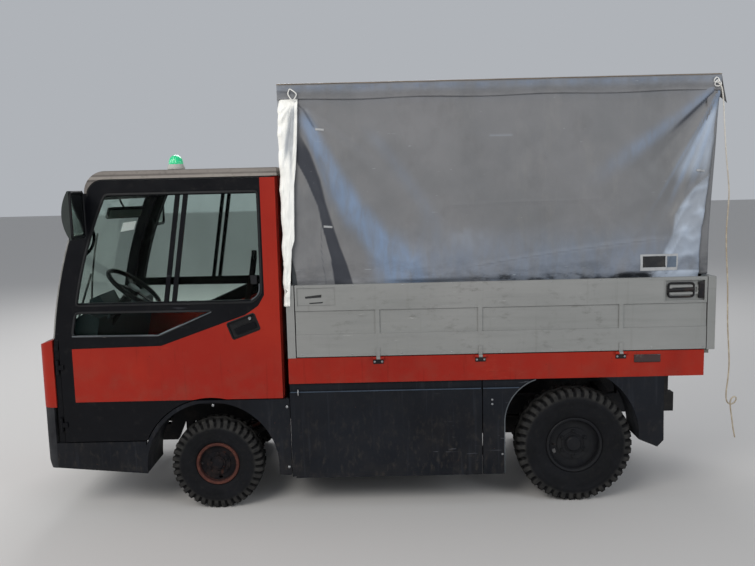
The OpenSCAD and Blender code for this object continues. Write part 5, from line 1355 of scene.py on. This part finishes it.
def make_door_fittings():
    """Gaskets, lips, handle and catch of each door, which ride on it."""
    z_front = np.linspace(1.235, 1.860, 12)
    main = [(screen_x(z, 0.118), z) for z in z_front]
    main_corners = [(0.640, 1.860), (0.640, 1.288), (0.692, 1.235)] + main
    lower_corners = [(1.707, 1.195), (0.920, 1.190), (1.235, 1.053), (1.734, 1.057)]
    gasket = [(-0.007, -0.004), (0.005, -0.004), (0.007, 0.0), (0.004, 0.004), (-0.006, 0.003)]
    for name, side in SIDES:
        body = f"door_{name}"
        shapes = [strip(window_line(main_corners, 0.6485, 0.02, 3), gasket, closed=True),
                  strip(window_line(lower_corners, 0.6485, 0.03), gasket, closed=True)]
        piece(f"window_gaskets_{name}", flipped(join(*shapes), side), "gasket", body, angle=50)
        # painted highlight: pale lips along the lower window and its rear corner
        lip = [(1.733, 0.649, 1.060), (1.240, 0.649, 1.056), (0.930, 0.649, 1.186)]
        path = smooth_path(lip[:2], 8).tolist() + smooth_path(lip[1:], 8).tolist()[1:]
        shine = strip(path, [(-0.004, 0.0), (0.0, 0.0045), (0.0045, 0.003), (0.005, 0.0)])
        piece(f"window_lip_{name}", flipped(shine, side), "lip_highlight", body, angle=50)
        corner = smooth_path([(0.650, 0.649, 1.34), (0.652, 0.649, 1.300), (0.668, 0.649, 1.268),
                              (0.700, 0.649, 1.248)], 5)
        piece(f"corner_lip_{name}", flipped(strip(corner, [(-0.004, 0), (0, 0.004), (0.004, 0)]), side),
              "lip_highlight",
              body, angle=50)
        make_door_handle(name, side, body)
        catch = join(block((0.664, 0.618, 1.335), (0.700, 0.6385, 1.385)), turned(
            [(0, 0.008), (0.016, 0.007), (0.018, 0)], (0.682, 0.618, 1.360), (0, -1, 0), 14))
        piece(f"window_catch_{name}", flipped(catch, side), "plastic", body, bevel=0.002)


def rounded_outline(centre, size, radius, slant, steps=7):
    """Corners of a rounded (x, z) rectangle, turned by slant degrees so that its front end falls."""
    turns = np.linspace(0, math.pi / 2, steps)
    half = np.asarray(size) / 2 - radius
    quarter = np.column_stack([np.cos(turns), np.sin(turns)]) * radius
    corners = []
    for k in range(4):
        c, n = round(math.cos(k * math.pi / 2)), round(math.sin(k * math.pi / 2))
        spin = np.array([[c, n], [-n, c]])
        corners.append(quarter @ spin + half * ((1, 1), (-1, 1), (-1, -1), (1, -1))[k])
    flat = np.concatenate(corners)
    t = math.radians(-slant)
    return flat @ np.array([[math.cos(t), math.sin(t)], [-math.sin(t), math.cos(t)]]) + centre


HANDLE_CENTRE, HANDLE_SIZE, HANDLE_SLANT = (0.750, 1.097), (0.165, 0.097), 20


def make_door_handle(name, side, body):
    """Lining of the handle's pocket, with a lip on the door's skin, and the lock barrel above the paddle."""
    rings = []
    for grow, y in ((-0.0010, 0.64004), (-0.0006, 0.6500), (0.0045, 0.6501), (0.0050, 0.6512), (0.0030, 0.6525),
                    (-0.0015, 0.6525), (-0.0030, 0.6510), (-0.0050, 0.6410), (-0.0070, 0.64025)):
        flat = rounded_outline(HANDLE_CENTRE, np.asarray(HANDLE_SIZE) + 2 * grow, 0.010 + grow, HANDLE_SLANT)
        rings.append(np.column_stack([flat[:, 0], np.full(len(flat), y), flat[:, 1]]))
    points, faces = grid(np.stack(rings), close_v=True)
    faces = faces.tolist() + caps(len(rings[0]), len(rings))
    piece(f"handle_pocket_{name}", flipped((points, faces), side), "dark_plastic", body,
          angle=40)
    t = math.radians(HANDLE_SLANT)
    x = HANDLE_CENTRE[0] - 0.050 * math.cos(t) + 0.030 * math.sin(t)
    z = HANDLE_CENTRE[1] + 0.050 * math.sin(t) + 0.030 * math.cos(t)
    lock = turned([(0, 0.0095), (0.010, 0.0095), (0.012, 0.008), (0.0105, 0.003), (0.0105, 0)], (x, 0.6403, z),
                  (0, 1, 0), 24)
    piece(f"handle_lock_{name}", flipped(lock, side), "steel", body, angle=40)


def make_mirrors():
    """Mirror glass and the rounded lip round it."""
    for name, side in SIDES:
        body = f"door_{name}"
        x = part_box(f"mirror_{name}")[0][0]
        glass = rounded_box((x - 0.0012, side * 0.785, 1.753), (0.003, 0.168, 0.226), 0.0014, steps=6)
        welded(piece(f"mirror_glass_{name}", glass, "mirror", body, angle=40))
        rim = np.array([(x - 0.004, 0.785 + 0.094 * sx, 1.753 + 0.122 * sz) for sx, sz in
                        ((1, 1), (-1, 1), (-1, -1), (1, -1))])
        path = rounded_corners(rim, 0.03, 6)
        piece(f"mirror_lip_{name}", flipped(tube(path, 0.0065, 8, closed=True), side), "plastic", body,
              angle=180)


def make_cab_fittings():
    """Small parts on the cab, such as the wiper."""
    blade_z = np.linspace(1.10, 1.62, 14)
    blade = np.column_stack([screen_x(blade_z) + 0.010, np.linspace(0.02, 0.16, 14), blade_z])
    arm = smooth_path([(screen_x(1.03) + 0.018, 0.22, 1.035), (screen_x(1.12) + 0.030, 0.18, 1.12),
                       (screen_x(1.36) + 0.020, 0.09, 1.36)], 6)
    wiper = join(tube(blade, 0.006, 6), tube(arm, 0.007, 8),
                 turned([(0, 0.020), (0.03, 0.018), (0.036, 0.012), (0.036, 0)], (1.852, 0.22, 1.030),
                        (1, 0, 0), 20))
    piece("wiper", wiper, "dark_steel", "vehicle", angle=50)
    # Inside mirror on its stalk
    turn = math.radians(45)
    along, normal = np.array([math.sin(turn), math.cos(turn), 0]), np.array([-math.sin(turn), math.cos(turn),
                                                                             0])
    centre = np.array([1.600, 0.0, 1.738])
    up = np.array([0, 0, 0.80]) + normal * 0.60
    facing = normal * 0.80 - np.array([0, 0, 0.60])

    def slab(length, height, depth, shift):
        box_points, faces = rounded_box((0, 0, 0), (length, depth, height), min(depth, 0.012) * 0.49, steps=8)
        p = centre + box_points[:, :1] * along + box_points[:, 1:2] * facing + box_points[:, 2:] * up
        return p + facing * shift, faces

    welded(piece("inside_mirror_shell", slab(0.245, 0.082, 0.022, -0.006), "plastic", "vehicle"))
    welded(piece("inside_mirror_glass", slab(0.222, 0.060, 0.002, 0.0055), "hazy_mirror", "vehicle"))
    stalk = tube(smooth_path([(1.606, -0.008, 1.775), (1.625, -0.02, 1.80), (1.640, -0.02, 1.838)], 5), 0.006,
                 8)
    piece("inside_mirror_stalk", stalk, "plastic", "vehicle", angle=180)
    # Blank paper label inside the windscreen, glowing as painted light
    v = np.linspace(1.605, 1.665, 7)[None, :]
    u = np.linspace(-0.52, -0.24, 12)[:, None]
    label = np.stack([screen_x(v + 0 * u, 0.0075), u + 0 * v, v + 0 * u], -1)
    piece("blank_label", grid(label), "glowing_paper", "vehicle", thickness=0.0006, angle=180,
          outward=False)
    # Seat belts: webbing from the pillar guide to the seat box
    for name, side in SIDES:
        route = smooth_path([(0.690, 0.545, 1.490), (0.705, 0.530, 1.40), (0.735, 0.500, 1.28),
                             (0.770, 0.500, 1.14),
                             (0.800, 0.515, 1.00), (0.812, 0.520, 0.850)], 8)
        web = strip(route, [(-0.0012, -0.023), (0.0012, -0.023), (0.0012, 0.023), (-0.0012, 0.023)],
                    up=(0.6, 0.8, 0))
        guide = rounded_box((0.688, 0.548, 1.495), (0.030, 0.018, 0.055), 0.006, steps=8)
        piece(f"seat_belt_{name}", flipped(web, side), "belt", "vehicle", angle=40)
        welded(piece(f"belt_guide_{name}", flipped(guide, side), "plastic", "vehicle"))
    # Pale strip along each windscreen pillar, which is a painted highlight, and the pale ledge behind the top of the
    # nose
    for name, side in SIDES:
        pillar_z = np.linspace(1.050, 1.610, 24)
        edge = np.column_stack([screen_x(pillar_z, 0.0070), 0.6395 + 0 * pillar_z, pillar_z])
        piece(f"pillar_edge_{name}", flipped(tube(edge, 0.0055, 8), side), "pale_strip", "vehicle",
              angle=180)
    low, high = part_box("front_panel")
    along = np.linspace(-0.560, 0.560, 30)[:, None]
    back = np.linspace(0.012, 0.066, 6)[None, :]
    ledge_z = high[2] - 0.025 + 0.025 * (back - 0.009) / 0.079 + 0.0016
    ledge = np.stack([high[0] - back + 0 * along, along + 0 * back, ledge_z + 0 * along], -1)
    piece("nose_ledge", grid(ledge), "pale_strip", "vehicle", thickness=0.0008, angle=180,
          outward=False)
    # Hub cap of the steering wheel
    tilt = math.radians(38)
    axis = (-math.sin(tilt), 0, math.cos(tilt))
    hub = turned([(-0.003, 0.040), (0.004, 0.040), (0.010, 0.034), (0.012, 0.0)], (1.480, 0.280, 1.285), axis,
                 32)
    piece("steering_hub", hub, "grey_plastic", "steering_wheel", angle=40)
    # Gutter rubber between the roof cap and the doors
    for name, side in SIDES:
        arc = [(1.500 + 0.0945 * math.sin(t), 0.640, 1.846 + 0.0945 * math.cos(t)) for t in np.linspace(0, 1.5,
                                                                                                        12)]
        line = [(x, 0.640, 1.9405) for x in np.linspace(0.56, 1.49, 20)]
        path = np.array(line + arc)
        rubber_line = strip(path, [(-0.003, -0.010), (0.003, -0.010), (0.003, 0.006), (-0.003, 0.006)])
        piece(f"gutter_{name}", flipped(rubber_line, side), "gasket", "vehicle", angle=40)


def make_beacon():
    """Flashing beacon: dark foot, pale flared skirt and a ribbed dome whose radius ripples round the axis."""
    base = (1.254, 0, 1.990)
    foot = turned([(0, 0.036), (0.004, 0.036), (0.006, 0.030), (0.020, 0.030), (0.020, 0)], base, (0, 0, 1), 40)
    skirt = turned([(0.017, 0.050), (0.018, 0.0545), (0.024, 0.0555), (0.034, 0.0530), (0.044, 0.0485),
                    (0.049, 0.0465), (0.050, 0.044), (0.050, 0)], base, (0, 0, 1), 48)
    piece("beacon_foot", foot, "plastic", "vehicle", ["beacon"], angle=35)
    piece("beacon_skirt", skirt, "pale_plastic", "vehicle", angle=35)
    rise = np.linspace(0, math.pi / 2, 12)
    heights, radii = 0.050 + 0.058 * np.sin(rise), 0.0445 * np.cos(rise) ** 0.8
    t = (np.arange(96) * 2 * math.pi / 96)[None, :]
    ripple = 1 + 0.022 * np.cos(t * 24) * smooth(radii, 0.02, 0.035)[:, None]
    r = radii[:, None] * ripple
    lens_points = np.stack([base[0] + r * np.cos(t), r * np.sin(t), base[2] + heights[:, None] + 0 * t], -1)
    piece("beacon_lens", grid(lens_points, close_v=True), "beacon", "vehicle", angle=60)


def make_headlamps():
    """Ring, reflector and lens of each headlamp."""
    for name, side in SIDES:
        base = (1.901, side * 0.460, 0.800)
        shell = turned([(0.0, 0.0765), (0.022, 0.0765), (0.030, 0.0750), (0.031, 0.0680), (0.022, 0.0665)],
                       base, (1, 0, 0), 48)
        del shell[1][-1]
        piece(f"lamp_ring_{name}", shell, "steel", "vehicle", ["headlamps"] if side > 0 else (),
              angle=35)
        bowl = [(0.021 - 0.030 * math.cos(a) ** 2, 0.066 * math.sin(a)) for a in np.linspace(0.02, math.pi / 2,
                                                                                             10)]
        piece(f"lamp_bowl_{name}", turned(bowl[::-1], base, (1, 0, 0), 40), "mirror", "vehicle",
              angle=60)
        dome = [(0.023 + 0.010 * (1 - (r / 0.0665) ** 2), r) for r in np.linspace(0.0665, 0.0, 12)]
        piece(f"lamp_lens_{name}", turned(dome, base, (1, 0, 0), 48), "lamp", "vehicle", angle=60)


# Load bed fittings

# Outer face of the bed frame, arches and drop sides
BODY_SIDE = 0.650


def make_bed_fittings():
    """Latches, plates, rivets and hinge straps of the drop sides, and what is fastened to the skirts."""
    for name, side in SIDES:
        body = f"dropside_{name}"
        pocket = plate([(-1.866, 1.190), (-1.645, 1.190), (-1.645, 1.305), (-1.866, 1.305)], 0.6355, 0.6372)
        piece(f"latch_pocket_{name}", flipped(pocket, side), "aluminium", body, angle=40)
        loop = window_line([(-1.806, 1.288), (-1.806, 1.210), (-1.662, 1.210), (-1.662, 1.288)], 0.6450, 0.016,
                           4)
        bar = smooth_path([(-1.662, 0.6455, 1.247), (-1.735, 0.6465, 1.250), (-1.806, 0.6455, 1.252)], 8)
        section = [(0.011 * math.cos(a), 0.0075 * math.sin(a)) for a in np.linspace(0, 2 * math.pi, 13)[:-1]]
        latch = join(tube(loop, 0.0055, 10, closed=True), strip(bar, section))
        piece(f"latch_loop_{name}", flipped(latch, side), "dark_steel", body, angle=60)
        catch = rounded_box((-1.848, 0.6445, 1.248), (0.034, 0.015, 0.094), 0.004, steps=8)
        welded(piece(f"latch_catch_{name}", flipped(catch, side), "dark_steel", body))
        turn = np.linspace(0, 2 * math.pi, 21)[:-1]
        link = np.stack([-1.821 + 0.013 * np.cos(turn), 0.6440 + 0 * turn, 1.250 + 0.022 * np.sin(turn)], -1)
        piece(f"latch_link_{name}", flipped(tube(link, 0.0035, 8, closed=True), side), "aluminium", body,
              angle=180)
        frame_line = window_line([(-1.869, 1.308), (-1.869, 1.187), (-1.641, 1.187), (-1.641, 1.308)],
                                 BODY_SIDE, 0.006, 3)
        piece(f"latch_frame_{name}", flipped(strip(frame_line,
                                                   [(-0.003, -0.002), (0.003, -0.002), (0.003, 0.002),
              (-0.003, 0.002)], closed=True), side), "aluminium", body, angle=40)
        front = plate([(0.222, 1.207), (0.438, 1.207), (0.438, 1.306), (0.222, 1.306)], 0.6435, 0.6452)
        piece(f"front_plate_{name}", flipped(front, side), "aluminium", body, angle=40)
        marks = join(plate([(0.300, 1.268), (0.395, 1.258), (0.392, 1.247), (0.302, 1.252)], 0.6453, 0.6462),
                     plate([(0.292, 1.226), (0.372, 1.222), (0.368, 1.216), (0.296, 1.219)], 0.6453, 0.6462))
        piece(f"plate_marks_{name}", flipped(marks, side), "dark_grime", body, angle=40)
        rivets = []
        for x0, x1, z, step in ((-1.84, 0.42, 1.316, 0.28), (-1.86, 0.43, 0.923, 0.285)):
            for x in np.arange(x0, x1, step):
                rivets.append(turned([(0, 0.0042), (0.0012, 0.0036), (0.0018, 0.0)], (x, BODY_SIDE, z),
                                     (0, 1, 0), 10))
        piece(f"rivets_{name}", flipped(join(*rivets), side), "steel", body, angle=60)
        for i, x in enumerate((-0.014, -0.598, -1.398)):
            straps = join(block((x - 0.030, BODY_SIDE, 0.862), (x + 0.030, 0.6535, 0.888)),
                          block((x - 0.012, 0.6537, 0.868), (x + 0.012, 0.6575, 0.883)))
            piece(f"hinge_plate_{name}_{i}", flipped(straps, side), "dark_steel", "vehicle",
                  bevel=0.0015)
            heads = [turned([(0, 0.0065), (0.003, 0.006), (0.0045, 0.0)], (x + dx, 0.6535, 0.875), (0, 1, 0),
                            12)
                     for dx in (-0.021, 0.021)]
            piece(f"hinge_rivets_{name}_{i}", flipped(join(*heads), side), "steel", "vehicle",
                  angle=60)
        reflector = rounded_box((-1.549, 0.6525, 0.861), (0.150, 0.006, 0.046), 0.0028, steps=8)
        welded(piece(f"reflector_{name}", flipped(reflector, side), "dark_red", "vehicle"))
        hook = tube(smooth_path([(0.452, 0.652, 0.720), (0.452, 0.662, 0.706), (0.452, 0.660, 0.690),
                                 (0.452, 0.653, 0.688)], 5),
                    0.004, 8)
        piece(f"skirt_hook_{name}", flipped(hook, side), "steel", "vehicle", angle=180)
        # painted highlight: a pale blue strip for sky light on the top of the skirt's ledge
        flat = [(-0.003, -0.001), (0.003, -0.001), (0.003, 0.001), (-0.003, 0.001)]
        seam = join(strip([(0.497, 0.6493, 0.704), (-0.600, 0.6493, 0.704)], flat),
                    strip([(-0.612, 0.6493, 0.704), (-0.820, 0.6493, 0.704)], flat))
        piece(f"skirt_ledge_{name}", flipped(seam, side), "ledge_highlight", "vehicle", angle=40)
        # painted highlight along the front edge of the mudguard's arch
        arc = np.linspace(0, 1.25, 16)
        lip = [(-0.736, 0.648, 0.196), (-0.736, 0.648, 0.35)] + list(zip(
            -0.998 + 0.262 * np.cos(arc), 0.648 + 0 * arc, 0.500 + 0.262 * np.sin(arc)))
        piece(f"guard_lip_{name}", flipped(tube(lip, 0.0035, 6), side), "lip_highlight", "vehicle",
              angle=180)
        heads = [turned([(0, 0.0065), (0.002, 0.006), (0.0035, 0.0)], (x, 0.6490, z), (0, 1, 0), 12)
                 for x, z in ((-0.664, 0.636), (-0.664, 0.610), (-0.722, 0.310))]
        piece(f"skirt_screws_{name}", flipped(join(*heads), side), "steel", "vehicle", angle=60)
        bolts = [turned([(0, 0.008), (0.004, 0.008), (0.0055, 0.006), (0.0055, 0)], place, (0, 1, 0), 6)
                 for place in ((0.947, BODY_SIDE, 0.638), (0.52, BODY_SIDE, 0.26), (0.52, BODY_SIDE, 0.62))]
        piece(f"arch_bolts_{name}", flipped(join(*bolts), side), "steel", "vehicle", angle=40)
        for i, (y0, y1, finish) in enumerate(((0.402, 0.456, "amber"), (0.458, 0.512, "lamp_red"),
                                              (0.514, 0.568, "lamp"))):
            lens_shape = rounded_box((-1.8735, (y0 + y1) / 2, 0.821), (0.016, y1 - y0, 0.078), 0.005, steps=8)
            welded(piece(f"tail_lens_{name}_{i}", flipped(lens_shape, side), finish, "vehicle",
                         ["tail_lamps"] if side > 0 and i == 0 else ()))


# Seats

def make_cushion(name, centre, size, side, lean=0.0, channels=3):
    """Crowned cushion with sewn channels: a rounded box whose top is drawn in along each seam."""
    points, faces = rounded_box((0, 0, 0), size, min(size) * 0.34, bulge=0.012, steps=34)
    half = np.asarray(size) / 2
    seam_at = np.linspace(-1, 1, channels + 2)[1:-1] * half[1]
    top = smooth(points[:, 2], half[2] * 0.2, half[2] * 0.9)
    seams = sum(bell(points[:, 1] - y, 0.010) for y in seam_at)
    points[:, 2] -= 0.007 * seams * top
    edge = bell(np.abs(points[:, 0]) - half[0] * 0.80, 0.008) + bell(np.abs(points[:, 1]) - half[1] * 0.86,
                                                                     0.008)
    points[:, 2] -= 0.004 * np.clip(edge, 0, 1) * top
    turn = np.array(Matrix.Rotation(lean, 3, "Y"))
    points = points @ turn.T + centre
    points[:, 1] = np.abs(points[:, 1]) * side
    made = piece(name, (points, faces), "vinyl", "vehicle", angle=180)
    return welded(made)


def inflate(made, cap):
    """Fills a cushion with air by a short cloth run and keeps each point within cap of where it began."""
    remesh = made.modifiers.new("even", "REMESH")
    remesh.mode, remesh.voxel_size, remesh.use_smooth_shade = "VOXEL", 0.006, True
    graph = bpy.context.evaluated_depsgraph_get()
    fine = bpy.data.meshes.new_from_object(made.evaluated_get(graph))
    made.modifiers.clear()
    old, made.data = made.data, fine
    fine.name = old.name + "_filled"
    count = len(fine.vertices)
    before = np.empty(count * 3)
    fine.vertices.foreach_get("co", before)
    run = made.modifiers.new("air", "CLOTH")
    run.settings.use_pressure = True
    run.settings.uniform_pressure_force = 4
    run.settings.effector_weights.gravity = 0
    run.point_cache.frame_start, run.point_cache.frame_end = 1, 20
    scene = bpy.context.scene
    for step in range(1, 21):
        scene.frame_set(step)
    graph = bpy.context.evaluated_depsgraph_get()
    filled = made.evaluated_get(graph).data
    after = np.empty(count * 3)
    filled.vertices.foreach_get("co", after)
    before, after = before.reshape(-1, 3), after.reshape(-1, 3)
    move = after - before
    far = np.linalg.norm(move, axis=1)[:, None]
    move *= np.minimum(1, cap / np.maximum(far, 1e-9))
    made.modifiers.clear()
    scene.frame_set(1)
    fine.vertices.foreach_set("co", (before + move).ravel())
    fine.materials.clear()
    fine.materials.append(MATERIAL["vinyl"])
    fine.shade_smooth()
    fine.update()


def make_seats():
    """Left cushion and back, filled with air, and their copies on the right."""
    cushion_left = make_cushion("seat_cushion_left", (1.010, 0.280, 0.873), (0.492, 0.444, 0.100), 1)
    back_left = make_cushion("seat_back_left", (0.688, 0.280, 0.985), (0.300, 0.444, 0.082), 1, lean=-1.50)
    for made in (cushion_left, back_left):
        inflate(made, 0.006)
    for made, name in ((cushion_left, "seat_cushion_right"), (back_left, "seat_back_right")):
        mesh = made.data.copy()
        points = np.empty(len(mesh.vertices) * 3)
        mesh.vertices.foreach_get("co", points)
        points = points.reshape(-1, 3) - (0, 0.560, 0)
        mesh.vertices.foreach_set("co", points.ravel())
        mesh.update()
        twin = bpy.data.objects.new(name, mesh)
        bpy.context.scene.collection.objects.link(twin)
        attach(twin, "vehicle")
    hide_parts("seat_left")
    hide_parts("seat_right")


make_camera()
make_rope()
make_side_sheets()
make_roof_sheet()
make_front_sheet()
make_rear_sheet()
make_canopy_fittings()
make_wheels()
make_door_fittings()
make_mirrors()
make_cab_fittings()
make_beacon()
make_headlamps()
make_bed_fittings()
make_seats()
make_stage()
dress_nodes()
